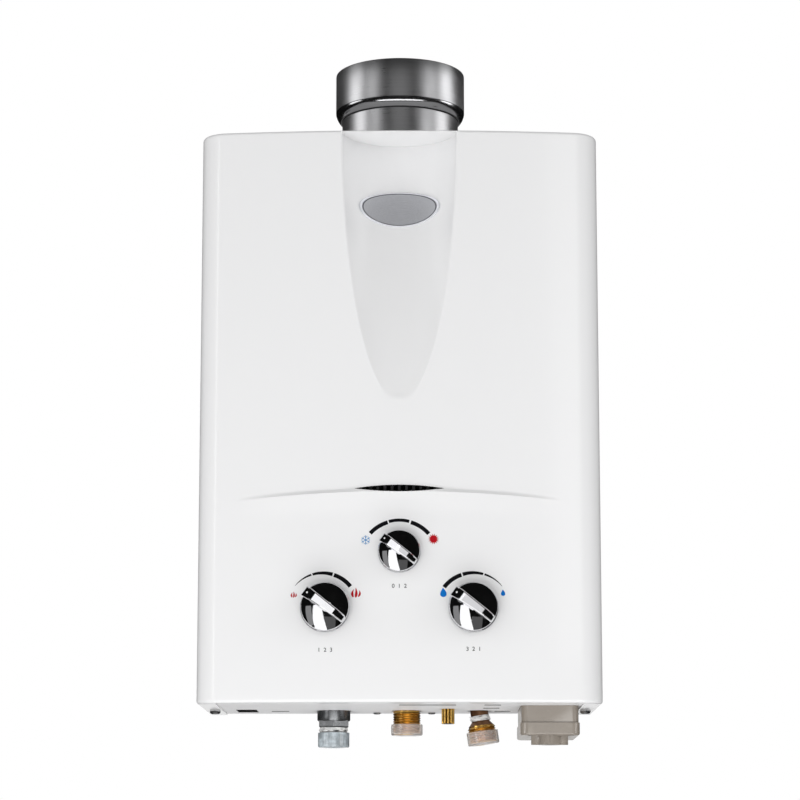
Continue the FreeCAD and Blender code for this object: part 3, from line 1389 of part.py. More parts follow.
def battery_case():
    seam = up(-battery_seam_drop)
    top = up(battery_case_up)
    shell = battery_box(0, seam, top).cut(battery_box(-battery_wall, seam - battery_wall, top - battery_wall))
    front, rear = hinge_y - 0.85 * hinge_radius, hinge_y + 0.8 * hinge_radius
    ears = []
    for x0, x1 in ear_spans:
        knuckle = rod(hinge_radius, V(x0, hinge_y, hinge_z), V(x1, hinge_y, hinge_z))
        web = block(x0, x1, case_rear_y - battery_wall / 4, rear, seam, seam + ear_length)
        post = block(x0, x1, front, rear, hinge_z, seam + battery_wall / 2)
        ears += [knuckle, web, post]
    pin_hole = rod(hinge_pin_radius + hinge_pin_fit, V(battery_left, hinge_y, hinge_z),
                   V(battery_right, hinge_y, hinge_z))
    seat = up(2 * sheet)
    flange = battery_box(battery_flange, seat, seat + battery_flange_sheet).cut(
        battery_box(-battery_wall / 4, seat - sheet, seat + 3 * battery_flange_sheet))
    return joined(shell, flange, *ears).cut(pin_hole)


def lid_hinge_pin():
    return rod(hinge_pin_radius, V(ear_spans[0][0] + knuckle_gap, hinge_y, hinge_z),
               V(ear_spans[1][1] - knuckle_gap, hinge_y, hinge_z))


def battery_lid():
    seam = up(-battery_seam_drop) - lid_gap
    foot = up(-lid_drop)
    outer = battery_box(lid_overhang, foot, seam)
    outer = outer.makeFillet(lid_edge, [e for e in outer.Edges if e.BoundBox.ZMax < foot + 1e-6])
    lid = outer.cut(battery_box(lid_overhang - battery_wall, foot + battery_wall, seam + battery_wall))
    x0, x1 = ear_spans[0][1] + knuckle_gap, ear_spans[1][0] - knuckle_gap
    knuckle = rod(hinge_radius, V(x0, hinge_y, hinge_z), V(x1, hinge_y, hinge_z))
    low = hinge_z - hinge_radius
    web = block(x0, x1, case_rear_y + lid_overhang - battery_wall / 4, hinge_y, low, low + hinge_web)
    bore = rod(hinge_pin_radius + running, V(battery_left, hinge_y, hinge_z), V(battery_right, hinge_y, hinge_z))
    latch_y = case_front_y + latch_from_front
    wings = block(battery_x - latch_width / 2, battery_x + latch_width / 2, latch_y - latch_depth / 2,
                  latch_y + latch_depth / 2, up(-latch_drop), foot + battery_wall / 4)
    barrel = rod(latch_barrel_radius, V(battery_x, latch_y, up(-latch_drop)),
                 V(battery_x, latch_y, foot + battery_wall / 4))
    return joined(lid, knuckle, web, wings, barrel).cut(bore)


def lid_contact():
    """Bridge strip in the lid that joins the two cells."""
    z = up(-lid_drop) + battery_wall
    y0, y1 = cell_rows
    strip = block(battery_x - contact_strip, battery_x + contact_strip, y0 - contact_plate, y1 + contact_plate,
                  z, z + contact_sheet)
    pads = [rod(contact_pad_radius, V(battery_x, y, z + contact_sheet / 2),
                V(battery_x, y, up(-cell_foot_drop) - contact_gap)) for y in (y0, y1)]
    return joined(strip, *pads)


def battery_cells():
    cells = []
    z0 = up(-cell_foot_drop)
    for y in cell_rows:
        can = rod(cell_radius, V(battery_x, y, z0), V(battery_x, y, z0 + cell_length - cell_nub_height))
        can = can.makeFillet(cell_edge, [e for e in can.Edges if e.BoundBox.ZLength < 1e-6])
        nub = rod(cell_nub_radius, V(battery_x, y, z0 + cell_length - 1.3 * cell_nub_height),
                  V(battery_x, y, z0 + cell_length))
        cells.append(joined(can, nub))
    return group(cells)


def battery_contacts():
    """Springy contacts under the roof of the case, one on each cell."""
    top = up(battery_case_up) - battery_wall
    low = up(-cell_foot_drop) + cell_length
    contacts = []
    for y in cell_rows:
        plate = block(battery_x - contact_plate, battery_x + contact_plate, y - contact_plate, y + contact_plate,
                      top - contact_sheet, top)
        coil = Part.makeCone(spring_narrow, spring_wide, top - contact_sheet / 2 - low, V(battery_x, y, low),
                             V(0, 0, 1))
        contacts.append(joined(plate, coil))
    return group(contacts)


# ---- assembly ------------------------------------------------------------------------------------
save("front_cover", front_cover())
save("back_plate", back_plate())
save("top_plate", top_plate())
save("bottom_plate", bottom_plate())
save("cover_screws", cover_screws())
save("plate_screws", plate_screws())
save("badge_plate", badge_plate())
save("sight_grille", sight_grille())
for label, (knob_x, knob_up, size) in knobs.items():
    save("knob_" + label, knob(knob_x, knob_up, size))
save("spindle_flame", spindle(-knob_spread, outer_knob_up, gas_boss_front))
save("spindle_season", spindle(0, centre_knob_up, season_front))
save("spindle_water", spindle(knob_spread, outer_knob_up, water_boss_front))
save("flue_neck", flue_neck())
save("flue_collar", flue_collar())
save("draft_hood", draft_hood())
save("heat_exchanger_jacket", heat_exchanger_jacket())
save("heat_exchanger_fins", heat_exchanger_fins())
save("heat_exchanger_tube", heat_exchanger_tube())
save("combustion_chamber", combustion_chamber())
save("burner_tray", burner_tray())
save("burner_bars", burner_bars())
save("gas_manifold", gas_manifold())
save("spark_electrode", electrode(electrode_x[0]))
save("flame_sensor", electrode(electrode_x[1]))
save("stack_brackets", stack_brackets())
save("gas_valve_body", gas_valve_body())
save("gas_solenoid", gas_solenoid())
save("season_valve_body", season_valve_body())
save("gas_link_pipe", gas_link_pipe())
save("gas_inlet_fitting", gas_inlet_fitting())
save("gas_seal_tape", gas_seal_tape())
save("gas_inlet_cap", gas_inlet_cap())
save("hot_outlet_fitting", hot_outlet_fitting())
save("hot_outlet_cap", hot_outlet_cap())
save("cold_inlet_fitting", cold_inlet_fitting())
save("cold_seal_tape", cold_seal_tape())
save("cold_inlet_cap", cold_inlet_cap())
save("water_valve_body", water_valve_body())
save("diaphragm", diaphragm())
save("diaphragm_cover", diaphragm_cover())
save("diaphragm_screws", diaphragm_screws())
save("push_rod", push_rod())
save("micro_switch", micro_switch())
save("switch_plunger", switch_plunger())
save("cold_water_pipe", cold_water_pipe())
save("hot_water_pipe", hot_water_pipe())
save("drain_stem", drain_stem())
save("drain_knob", drain_knob())
save("igniter_box", igniter_box())
save("overheat_switch", overheat_switch())
save("battery_case", battery_case())
save("lid_hinge_pin", lid_hinge_pin())
save("battery_lid", battery_lid())
save("lid_contact", lid_contact())
save("battery_cells", battery_cells())
save("battery_contacts", battery_contacts())

os.makedirs("parts", exist_ok=True)
for name, shape in parts.items():
    shape.exportStep("parts/" + name + ".step")
    print("%-24s solids %2d  valid %s  volume %9.0f" % (name, len(shape.Solids), shape.isValid(), shape.Volume))
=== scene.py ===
"""Looks of the wall-hung propane water heater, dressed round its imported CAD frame, in metres."""
import json
import math

import bpy
from mathutils import Matrix, Vector, noise

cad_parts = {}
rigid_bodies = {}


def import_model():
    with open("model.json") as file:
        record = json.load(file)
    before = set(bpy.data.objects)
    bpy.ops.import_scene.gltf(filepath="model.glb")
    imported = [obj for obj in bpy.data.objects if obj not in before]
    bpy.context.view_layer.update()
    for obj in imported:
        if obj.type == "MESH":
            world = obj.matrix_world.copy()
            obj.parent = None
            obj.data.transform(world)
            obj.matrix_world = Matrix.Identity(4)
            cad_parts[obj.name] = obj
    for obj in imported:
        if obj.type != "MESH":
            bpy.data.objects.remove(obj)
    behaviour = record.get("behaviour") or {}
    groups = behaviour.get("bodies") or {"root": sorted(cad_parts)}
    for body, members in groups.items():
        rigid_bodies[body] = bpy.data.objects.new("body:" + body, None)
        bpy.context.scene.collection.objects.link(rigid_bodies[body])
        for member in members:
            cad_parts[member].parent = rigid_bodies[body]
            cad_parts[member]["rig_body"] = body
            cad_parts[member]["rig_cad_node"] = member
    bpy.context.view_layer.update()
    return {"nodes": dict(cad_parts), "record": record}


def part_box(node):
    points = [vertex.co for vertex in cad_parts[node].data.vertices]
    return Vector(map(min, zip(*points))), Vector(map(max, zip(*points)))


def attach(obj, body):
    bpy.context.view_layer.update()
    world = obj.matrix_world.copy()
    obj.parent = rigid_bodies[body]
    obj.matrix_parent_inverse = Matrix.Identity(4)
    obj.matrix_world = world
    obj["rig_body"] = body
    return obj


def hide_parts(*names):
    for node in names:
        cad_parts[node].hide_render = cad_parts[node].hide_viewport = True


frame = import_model()
mm = 0.001

# ---- Studio --------------------------------------------------------------------------------------
# The heater hangs high over a pale floor in a soft white room and is seen from below. Big soft boxes low
# in front and at both sides light all of it. The others are kept to the flue, the ports, the enamel, the
# knobs or the back, most of them for their gloss.
camera_place = (12.8 * mm, -1.996, -0.3377)
camera_pitch = 9.16            # degrees up
camera_yaw = 0.38
camera_lens = 116.1
camera_shift = 0.08
floor_z = -1.5
floor_size = 1.3
floor_grey = 0.82
room_light = 0.61
room_shade = 0.45              # how much of that is missing behind the heater
room_gloss = 0.004             # what mirrors see of the room, except straight behind the heater

bpy.ops.object.camera_add(location=camera_place,
                          rotation=(math.radians(90 + camera_pitch), 0, math.radians(camera_yaw)))
camera = bpy.context.object
camera.data.lens = camera_lens
camera.data.shift_y = camera_shift
bpy.context.scene.camera = camera
bpy.context.scene.view_settings.view_transform = "Standard"


class Wire:
    """An output of a shader node. Sums and products of wires add their own Math nodes."""

    def __init__(self, tree, socket):
        self.tree = tree
        self.socket = socket

    def node(self, kind, settings=None, inputs=None, out=0):
        """Adds a node with its settings, then the values or wires of its sockets."""
        made = self.tree.nodes.new(kind)
        for name, value in (settings or {}).items():
            setattr(made, name, value)
        for name, value in (inputs or {}).items():
            if isinstance(value, Wire):
                self.tree.links.new(value.socket, made.inputs[name])
            else:
                made.inputs[name].default_value = value
        return Wire(self.tree, made.outputs[out])

    def math(self, operation, *values):
        """Plain maths on numbers and wires."""
        return self.node("ShaderNodeMath", {"operation": operation}, dict(enumerate(values)))

    def __add__(self, other):
        return self.math("ADD", self, other)

    def __mul__(self, other):
        return self.math("MULTIPLY", self, other)

    def __sub__(self, other):
        return self.math("SUBTRACT", self, other)

    def __rsub__(self, other):
        return self.math("SUBTRACT", other, self)

    __radd__ = __add__
    __rmul__ = __mul__

    def between(self, low, high):
        """0 below low, 1 above high, smooth in between."""
        return self.node("ShaderNodeMapRange", {"interpolation_type": "SMOOTHSTEP"},
                         {"Value": self, "From Min": low, "From Max": high})

    def along(self, axis):
        """One coordinate of a vector."""
        return self.node("ShaderNodeSeparateXYZ", inputs={"Vector": self}, out=axis)

    def vector(self, operation, *values):
        """Vector maths on this vector. Only a length comes out as a number."""
        return self.node("ShaderNodeVectorMath", {"operation": operation},
                         dict(enumerate((self, *values))), "Value" if operation == "LENGTH" else "Vector")


world = bpy.data.worlds.new("soft_room")
world.use_nodes = True
bpy.context.scene.world = world
room = world.node_tree
ray = room.nodes.new("ShaderNodeLightPath")
is_camera, is_glossy, is_through = (Wire(room, ray.outputs[name]) for name in
                                    ("Is Camera Ray", "Is Glossy Ray", "Is Transmission Ray"))
depth = is_camera.node("ShaderNodeTexCoord", out="Generated").along("Y")
mirrored = depth.between(0.97, 0.995) * (1 - room_gloss) + room_gloss
filling = room_light - depth.between(-1.0, 0.5) * (room_light * room_shade)
seen = is_camera.math("MAXIMUM", is_camera, is_through)
lit = is_glossy * mirrored + (1 - is_glossy) * filling
strength = seen + (1 - seen) * lit
room.links.new(strength.socket, room.nodes["Background"].inputs["Strength"])
room.nodes["Background"].inputs["Color"].default_value = (1, 1, 1, 1)


def lamp(name, azimuth, elevation, distance, width, height, radiance, only=None, fill=True, gloss=True):
    """Soft box of this radiance, seen from the heater in this direction, facing it. Only some pieces may
    get its light; without fill it shows in gloss alone, and without gloss it only fills."""
    a, e = math.radians(azimuth), math.radians(elevation)
    away = Vector((math.sin(a) * math.cos(e), -math.cos(a) * math.cos(e), math.sin(e)))
    bpy.ops.object.light_add(type="AREA", location=away * distance,
                             rotation=away.to_track_quat("Z", "Y").to_euler())
    box = bpy.context.object
    box.name = name
    box.data.shape = "RECTANGLE"
    box.data.size, box.data.size_y = width, height
    box.data.energy = radiance * math.pi * width * height
    box.visible_camera = False
    box.visible_diffuse, box.visible_glossy = fill, gloss
    if only:
        box.light_linking.receiver_collection = only


for_flue, for_ports, for_enamel, for_knobs, for_back = (
    bpy.data.collections.new("lit_" + name) for name in ("flue", "ports", "enamel", "knobs", "back"))
# Boxes that show in the same piece stand at different distances, so that none hides another.
lamp("low_left_box", -22, -28, 1.9, 1.2, 2.2, 0.75, gloss=False)
lamp("low_front_box", -12, -40, 2.1, 2.0, 1.4, 1.15, gloss=False)
lamp("left_fill", -62, 14, 2.0, 1.0, 1.2, 0.8, gloss=False)
lamp("right_fill", 62, 14, 2.0, 1.0, 1.2, 1.35, gloss=False)
lamp("under_box", 10, -70, 1.25, 1.3, 1.3, 0.60, gloss=False)
lamp("knob_card", -1, 3.5, 2.1, 0.34, 0.50, 1.1, for_knobs, False)
lamp("knob_dim_card", 8, 3.5, 2.11, 0.36, 0.50, 0.78, for_knobs, False)
lamp("knob_low_card", -22, -36, 1.75, 0.85, 2.9, 1.2, for_knobs, False)
lamp("knob_left_glow", -47, -22, 1.83, 0.55, 1.6, 0.25, for_knobs, False)
lamp("knob_right_glow", 13, -46, 1.8, 0.9, 1.2, 0.09, for_knobs, False)
lamp("flue_left_strip", -83, 18, 1.7, 0.75, 0.8, 2.3, for_flue)
lamp("flue_right_strip", 88, 18, 1.7, 0.75, 0.8, 2.8, for_flue)
lamp("flue_left_panel", -48, 20, 2.0, 0.7, 0.7, 1.2, for_flue)
lamp("flue_right_panel", 52, 20, 2.0, 0.7, 0.7, 1.6, for_flue)
lamp("flue_front_panel", 0, 18, 2.0, 1.1, 0.8, 0.34, for_flue)
lamp("flue_low_strip", 0, -21, 2.0, 3.2, 0.2, 4.0, for_flue, False)
lamp("flue_back_left_glow", -150, -32, 1.8, 1.6, 1.4, 0.3, for_flue, False)
lamp("flue_back_right_glow", 150, -32, 1.8, 1.6, 1.4, 0.3, for_flue, False)
lamp("flue_left_glow", -78, -34, 1.7, 1.5, 1.3, 0.3, for_flue, False)
lamp("flue_right_glow", 80, -34, 1.7, 1.5, 1.3, 0.3, for_flue, False)
lamp("port_card", 4, -4, 1.9, 0.5, 0.8, 1.5, for_ports)
lamp("port_left_strip", -50, -4, 1.9, 0.5, 0.8, 5.0, for_ports, False)
lamp("port_right_strip", 58, -4, 1.9, 0.5, 0.8, 4.0, for_ports, False)
lamp("port_low_strip", 0, -36, 1.9, 1.6, 0.7, 4.0, for_ports, False)
lamp("left_side_box", -115, 8, 2.0, 1.2, 1.6, 0.7, for_enamel, gloss=False)
lamp("right_side_box", 115, 8, 2.0, 1.2, 1.6, 0.7, for_enamel, gloss=False)
lamp("back_box", 155, 25, 2.0, 1.6, 1.6, 1.2, for_back)
lamp("back_low_box", -150, -15, 2.1, 1.4, 1.4, 0.8, for_back)
lamp("enamel_left_line", -44, 10, 2.0, 0.10, 1.3, 5.0, for_enamel, False)
lamp("enamel_right_glow", 24, 12, 2.0, 0.5, 0.9, 1.3, for_enamel, False)
lamp("enamel_low_line", 4, -50, 1.8, 2.0, 0.16, 9.0, for_enamel, False)

bpy.ops.mesh.primitive_plane_add(size=floor_size, location=(0, 0, floor_z))
floor = bpy.context.object
floor.name = "pale_floor"
floor_paint = bpy.data.materials.new("pale_floor")
floor_paint.use_nodes = True
floor_shader = floor_paint.node_tree.nodes["Principled BSDF"]
floor_shader.inputs["Base Color"].default_value = (floor_grey, floor_grey, floor_grey, 1)
floor_shader.inputs["Roughness"].default_value = 0.8
floor.data.materials.append(floor_paint)

# ---- Wall pan and hidden works -------------------------------------------------------------------
# A folded zinc-coated pan hangs on four wall screws and carries the copper exchanger, the burner and
# the valves. Their sheets and castings keep the CAD shape, welded and smooth-shaded where they are round.


def finish(name, colour, roughness, **constants):
    """New finish: its main shader takes plain values. Gives the finish and its Object coordinates."""
    made = bpy.data.materials.new(name)
    made.use_nodes = True
    tree = made.node_tree
    shader = tree.nodes["Principled BSDF"]
    shader.inputs["Base Color"].default_value = (*colour, 1)
    shader.inputs["Roughness"].default_value = roughness
    for socket, value in constants.items():
        shader.inputs[socket.replace("_", " ")].default_value = value
    return made, Wire(tree, tree.nodes.new("ShaderNodeTexCoord").outputs["Object"])


def feed(made, **wires):
    """Links wires to sockets of the finish's main shader."""
    shader = made.node_tree.nodes["Principled BSDF"]
    for socket, wire in wires.items():
        made.node_tree.links.new(wire.socket, shader.inputs[socket.replace("_", " ")])


def grain(place, scale, detail=3.0, stretch=(1, 1, 1)):
    """Noise of this many features a metre, squeezed along the axes."""
    laid = place.node("ShaderNodeMapping", inputs={"Vector": place, "Scale": stretch})
    return laid.node("ShaderNodeTexNoise", inputs={"Vector": laid, "Scale": scale, "Detail": detail},
                     out="Fac")


def tint(amount, first, second):
    """Colour from the first (0) to the second (1). Each is a plain colour or a wire."""
    first, second = (colour if isinstance(colour, Wire) else (*colour, 1) for colour in (first, second))
    return amount.node("ShaderNodeMix", {"data_type": "RGBA"},
                       {"Factor": amount, "A": first, "B": second}, out=2)


def relief(height, distance):
    """Bump of this height in metres."""
    return height.node("ShaderNodeBump", inputs={"Height": height, "Distance": distance, "Strength": 1.0})


def scaled(colour, factor):
    """A lighter or darker shade of a colour."""
    return tuple(channel * factor for channel in colour)


zinc_colour = (0.60, 0.61, 0.62)
galvanised, place = finish("galvanised", zinc_colour, 0.4, Metallic=1.0)
spangle = place.node("ShaderNodeTexVoronoi", inputs={"Vector": place, "Scale": 160.0}, out="Color")
spangle = spangle.node("ShaderNodeSeparateColor", inputs={"Color": spangle})
feed(galvanised, Base_Color=tint(spangle, scaled(zinc_colour, 0.82), scaled(zinc_colour, 1.12)),
     Roughness=spangle * 0.16 + 0.32)

copper_colour = (0.72, 0.36, 0.21)
copper, place = finish("copper", copper_colour, 0.3, Metallic=1.0)
heat = grain(place, 22.0)
feed(copper, Base_Color=tint(heat.between(0.4, 0.7), copper_colour, (0.42, 0.21, 0.15)),
     Roughness=heat * 0.3 + 0.16)

alloy_colour = (0.56, 0.57, 0.59)
cast_aluminium, place = finish("cast_aluminium", alloy_colour, 0.5, Metallic=1.0)
pores = grain(place, 900.0, 2.0)
feed(cast_aluminium, Base_Color=tint(pores, scaled(alloy_colour, 0.8), alloy_colour),
     Roughness=pores * 0.25 + 0.35, Normal=relief(pores, 0.12 * mm))

black_colour = (0.024, 0.024, 0.026)
black_plastic, place = finish("black_plastic", black_colour, 0.42)
spark = grain(place, 1400.0, 2.0)
feed(black_plastic, Base_Color=tint(spark, scaled(black_colour, 0.8), scaled(black_colour, 1.5)),
     Roughness=spark * 0.2 + 0.34, Normal=relief(spark, 0.03 * mm))

rubber, place = finish("rubber", (0.05, 0.05, 0.05), 0.75)
feed(rubber, Roughness=grain(place, 600.0) * 0.2 + 0.62)

ceramic_white, place = finish("ceramic_white", (0.84, 0.82, 0.76), 0.2)
feed(ceramic_white, Base_Color=tint(grain(place, 240.0), (0.74, 0.72, 0.65), (0.86, 0.85, 0.80)))

cell_jacket, place = finish("cell_jacket", (0.10, 0.11, 0.12), 0.25, Coat_Weight=0.4)
feed(cell_jacket, Base_Color=tint(grain(place, 60.0), (0.06, 0.07, 0.08), (0.13, 0.14, 0.15)))

steel_colour = (0.68, 0.68, 0.69)
screw_steel, place = finish("screw_steel", steel_colour, 0.3, Metallic=1.0)
scuff = grain(place, 700.0)
feed(screw_steel, Base_Color=tint(scuff, scaled(steel_colour, 0.8), steel_colour),
     Roughness=scuff * 0.2 + 0.22)

brass_colour = (0.72, 0.44, 0.115)
brass, place = finish("brass", brass_colour, 0.24, Metallic=1.0)
tarnish = grain(place, 90.0, 4.0)
turning = grain(place, 500.0, 2.0, (0.12, 0.12, 1))
feed(brass, Base_Color=tint(tarnish.between(0.4, 0.8), brass_colour, (0.42, 0.23, 0.06)),
     Roughness=turning * 0.22 + 0.16)

works = {"galvanised": galvanised, "copper": copper, "cast_aluminium": cast_aluminium, "rubber": rubber,
         "black_plastic": black_plastic, "ceramic_white": ceramic_white, "cell_jacket": cell_jacket,
         "screw_steel": screw_steel, "brass": brass}


def pick(*pieces):
    """Selects these pieces alone and makes the first one active."""
    bpy.ops.object.select_all(action="DESELECT")
    for piece in pieces:
        piece.select_set(True)
    bpy.context.view_layer.objects.active = pieces[0]


def fit(piece, made, slot, body, *nodes, smooth=32, light=None):
    """Sets a finished piece: its place goes into its mesh, edges flatter than smooth degrees are shaded
    soft, and it takes its finish, body, the nodes it stands for and its lamps. Its slot is not used."""
    pick(piece)
    bpy.ops.object.transform_apply(location=True, rotation=True, scale=True)
    bpy.ops.object.shade_smooth_by_angle(angle=math.radians(smooth))
    piece.data.materials.clear()
    piece.data.materials.append(made)
    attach(piece, body)
    if nodes:
        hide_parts(*nodes)
    if light:
        light.objects.link(piece)


def copied(piece, name):
    """A copy with its own mesh."""
    twin = piece.copy()
    twin.data = piece.data.copy()
    twin.name = name
    bpy.context.scene.collection.objects.link(twin)
    return twin


def start_edit(piece):
    """Edit mode with all of the piece selected."""
    pick(piece)
    bpy.ops.object.mode_set(mode="EDIT")
    bpy.ops.mesh.select_all(action="SELECT")


def welded(node, name):
    """Copy of a CAD node with its loose triangles joined."""
    piece = copied(frame["nodes"][node], name)
    piece.parent = None
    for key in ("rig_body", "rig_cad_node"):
        del piece[key]
    start_edit(piece)
    bpy.ops.mesh.remove_doubles(threshold=0.001 * mm)
    bpy.ops.object.mode_set(mode="OBJECT")
    return piece


def add_modifier(piece, kind, **settings):
    """Adds a modifier and applies it."""
    pick(piece)
    bpy.ops.object.modifier_add(type=kind)
    made = piece.modifiers[-1]
    for name, value in settings.items():
        setattr(made, name, value)
    bpy.ops.object.modifier_apply(modifier=made.name)


slots = {part["node"]: part["material_slot"] for part in frame["record"]["subparts"]}
bodies = {node: body for body, nodes in frame["record"]["behaviour"]["bodies"].items() for node in nodes}
own_section = ("front_cover", "top_plate", "bottom_plate", "badge_plate", "knob_flame", "knob_season",
               "knob_water", "flue_neck", "flue_collar", "cover_screws", "plate_screws",
               "gas_inlet_fitting", "gas_seal_tape", "gas_inlet_cap", "hot_outlet_fitting",
               "hot_outlet_cap", "cold_inlet_fitting", "cold_seal_tape", "cold_inlet_cap", "drain_knob",
               "battery_case", "battery_lid")


def skin(node, made, ending="_skin", smooth=32, light=None):
    """A piece whose CAD shape is right: welded, and shaded so that its flat faces look flat."""
    piece = welded(node, node + ending)
    fit(piece, made, slots[node], bodies[node], node, smooth=smooth, light=light)
    add_modifier(piece, "WEIGHTED_NORMAL", mode="FACE_AREA", weight=50, keep_sharp=True)


for node in slots:
    if node == "back_plate":
        skin(node, works[slots[node]], smooth=5, light=for_back)
    elif node not in own_section:
        skin(node, works[slots[node]])

# ---- Front cover ---------------------------------------------------------------------------------
# One deep-drawn sheet, stove-enamelled white: a faintly bowed front with round corners, a hollow that
# tapers down from the flue, a raised brow over the controls and lips turned in at the top and bottom.
cover_low, cover_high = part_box("front_cover")
cover_half = cover_high.x
cover_foot, cover_top = cover_low.z, cover_high.z
cover_rear = cover_high.y
front_plane = -146 * mm
bow_radius = 1.1
corner_radius = 20 * mm
edge_radius = 2.5 * mm
lip_width = 14 * mm
ceiling_sheet = 1.0 * mm       # what stays of the top edge over the scoop
cover_sheet = 0.85 * mm
top_lip_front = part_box("top_plate")[0].y - 0.3 * mm
scoop_radius = 42.5 * mm       # the scoop is a leaning cylinder that runs out of the front
scoop_length = 204.8 * mm
scoop_rim = 2.2 * mm           # rounding of the pressed rim
scoop_slant = math.asin(scoop_radius / scoop_length)
brow_half = 118 * mm
brow_mid, brow_end = 152.4 * mm, 146.5 * mm    # crest above the foot, in the middle and at the ends
brow_rise = 2.6 * mm           # how far the crest stands out in the middle
brow_sink = 0.2 * mm           # and how far it is sunk at the ends
brow_bed = 0.5 * mm            # the flanks run this far under the front's surface
brow_steep, brow_gentle = 3.0 * mm, 17.0 * mm    # width of the flanks above and below the crest
visor_half, visor_depth = 40.92 * mm, 8.8 * mm   # in the middle the upper flank is wider, over the slot
brow_pull_reach = 60 * mm      # the mesh rows follow the crest's curve this far from it
slot_half, slot_height = 33 * mm, 5.2 * mm
slot_z = cover_foot + 154.8 * mm

upright = math.pi / 2
bow_centre = bow_radius + front_plane
corner_x = cover_half - corner_radius
corner_y = bow_centre - math.sqrt((bow_radius - corner_radius) ** 2 - corner_x ** 2)
bow_end = math.asin(corner_x / (bow_radius - corner_radius))


def front_y(x):
    """Where the bowed front stands at this x."""
    return bow_centre - math.sqrt(bow_radius ** 2 - x ** 2)


def hollow(z):
    """The scoop at this height: half width at its rim, half width inside the rim, y of its axis."""
    axis = front_plane + (z - cover_top) * math.tan(scoop_slant)
    deep = scoop_radius / math.cos(scoop_slant)
    turn = 0.0
    for _ in range(3):         # the rim meets a bowed front, so its turn is found in rounds
        level = front_y(scoop_radius * math.cos(turn)) + scoop_rim - axis
        if level >= deep + scoop_rim:
            return 0.0, 0.0, axis
        turn = math.asin(level / (deep + scoop_rim))
    return (scoop_radius + scoop_rim) * math.cos(turn), scoop_radius * math.cos(turn), axis


def crest(x):
    """Height of the brow's crest above the foot."""
    return brow_mid - (brow_mid - brow_end) * min(1.0, abs(x) / brow_half) ** 2


def pressed(x, z):
    """How far the front is pressed in (+) or out (-) of its bow here: scoop with rounded rim, brow."""
    rim, inside, axis = hollow(z)
    side = abs(x)
    if side < inside:
        return max(0.0, axis + math.sqrt(scoop_radius ** 2 - x ** 2) / math.cos(scoop_slant) - front_y(x))
    if side < rim:
        round_off = math.sqrt(max(0.0, scoop_rim ** 2 - (rim - side) ** 2))
        return max(0.0, front_y(rim) - front_y(x) + scoop_rim - round_off)
    share = side / brow_half
    above = z - cover_foot - crest(x)
    if share >= 1 or above < -brow_gentle or above > visor_depth:
        return 0.0
    fade = math.cos(share * upright) ** 0.6
    stand = brow_rise * fade - brow_sink * (1 - fade)
    visor = max(0.0, 1 - (side / visor_half) ** 2) ** 1.5
    flank = brow_steep + (visor_depth - brow_steep) * visor
    if above > 0:
        return -max(0.0, stand - (stand + brow_bed) * above / flank)
    down = -above / brow_gentle
    return -max(0.0, stand * (1 - 1.25 * down + 0.25 * down ** 2) - brow_bed * down ** 2)


def steps(start, end, count):
    """Equal steps from start up to, but without, end."""
    return [start + (end - start) * i / count for i in range(count)]


def rounded(turn):
    """How far the rounded edge has come from its level face, and its inset, at this turn."""
    return edge_radius * (1 - math.sin(turn)), edge_radius * (1 - math.cos(turn))


# Heights up the front: close together at the brow, the scoop and the rounded edges.
crest_z = cover_foot + brow_mid
below_crest = (-20, -17, -14, -11, -8.5, -6, -4, -2.5, -1.4, -0.6)
above_crest = (0, 0.5, 1.1, 1.8, 2.6, 3.6, 5, 6.6, 8.2, 10, 12)
scoop_start = cover_top - scoop_length - 8 * mm
heights = steps(cover_foot + edge_radius, crest_z - 22 * mm, 20)
heights += [crest_z + offset * mm for offset in below_crest + above_crest]
heights += steps(crest_z + 14 * mm, scoop_start, 9)
heights += steps(scoop_start, cover_top - edge_radius, 96)
# Stations from the bottom lip's inner edge, over the front, to the top lip's: kind, z, inset. The sheet
# over the scoop is left standing: above the turn under_ceiling the edge isn't pressed in.
under_ceiling = math.asin(1 - ceiling_sheet / edge_radius)
stations = [("lip", cover_foot, 0.0)]
for turn in [*steps(upright, 0.0, 6), 0.0]:
    rise, inset = rounded(turn)
    stations.append(("wall", cover_foot + rise, inset))
stations += [("wall", z, 0.0) for z in heights[1:]]
for kind, first, last in (("wall", 0.0, under_ceiling), ("edge", under_ceiling, upright)):
    for turn in [*steps(first, last, 4), last]:
        fall, inset = rounded(turn)
        stations.append((kind, cover_top - fall, inset))
stations.append(("lip", cover_top, 0.0))

# Columns round the plan: half of them, from the middle of the front to the left or right rear.
outer_field = 62 * mm
least_rim = 15 * mm            # the columns follow the scoop's rim down to this half width
half_columns = [(kind, t) for kind, parts in (
    ("inner", steps(0.0, 1.0, 15)), ("rim", steps(0.0, 1.0, 6)),
    ("spread", (0.0, 0.015, 0.04, 0.08, 0.14, 0.22, 0.32, 0.44, 0.58, 0.74, 0.9)),
    ("bow", steps(0.0, 1.0, 16)), ("corner", steps(0.0, 1.0, 12)), ("side", steps(0.0, 1.0, 6) + [1.0]))
    for t in parts]


def plan_point(kind, t, z, inset):
    """Place of a column in the plan at this height, right half."""
    rim, inside, _ = hollow(z)
    follow = max(rim, least_rim)
    tight = max(inside, follow - scoop_rim)
    if kind in ("inner", "rim", "spread", "bow"):
        if kind == "inner":
            x = tight * math.sin(upright * t)
        elif kind == "rim":
            x = follow - (follow - tight) * math.cos(upright * t)
        elif kind == "spread":
            x = follow + (outer_field - follow) * t
        else:
            x = outer_field + (bow_radius * math.sin(bow_end) - outer_field) * t
        out = Vector((x, front_y(x) - bow_centre)).normalized()
        return Vector((x, front_y(x))) - out * inset
    if kind == "corner":
        turn = bow_end + (upright - bow_end) * t
        out = Vector((math.sin(turn), -math.cos(turn)))
        return Vector((corner_x, corner_y)) + out * (corner_radius - inset)
    return Vector((cover_half - inset, corner_y + (cover_rear - corner_y) * t))


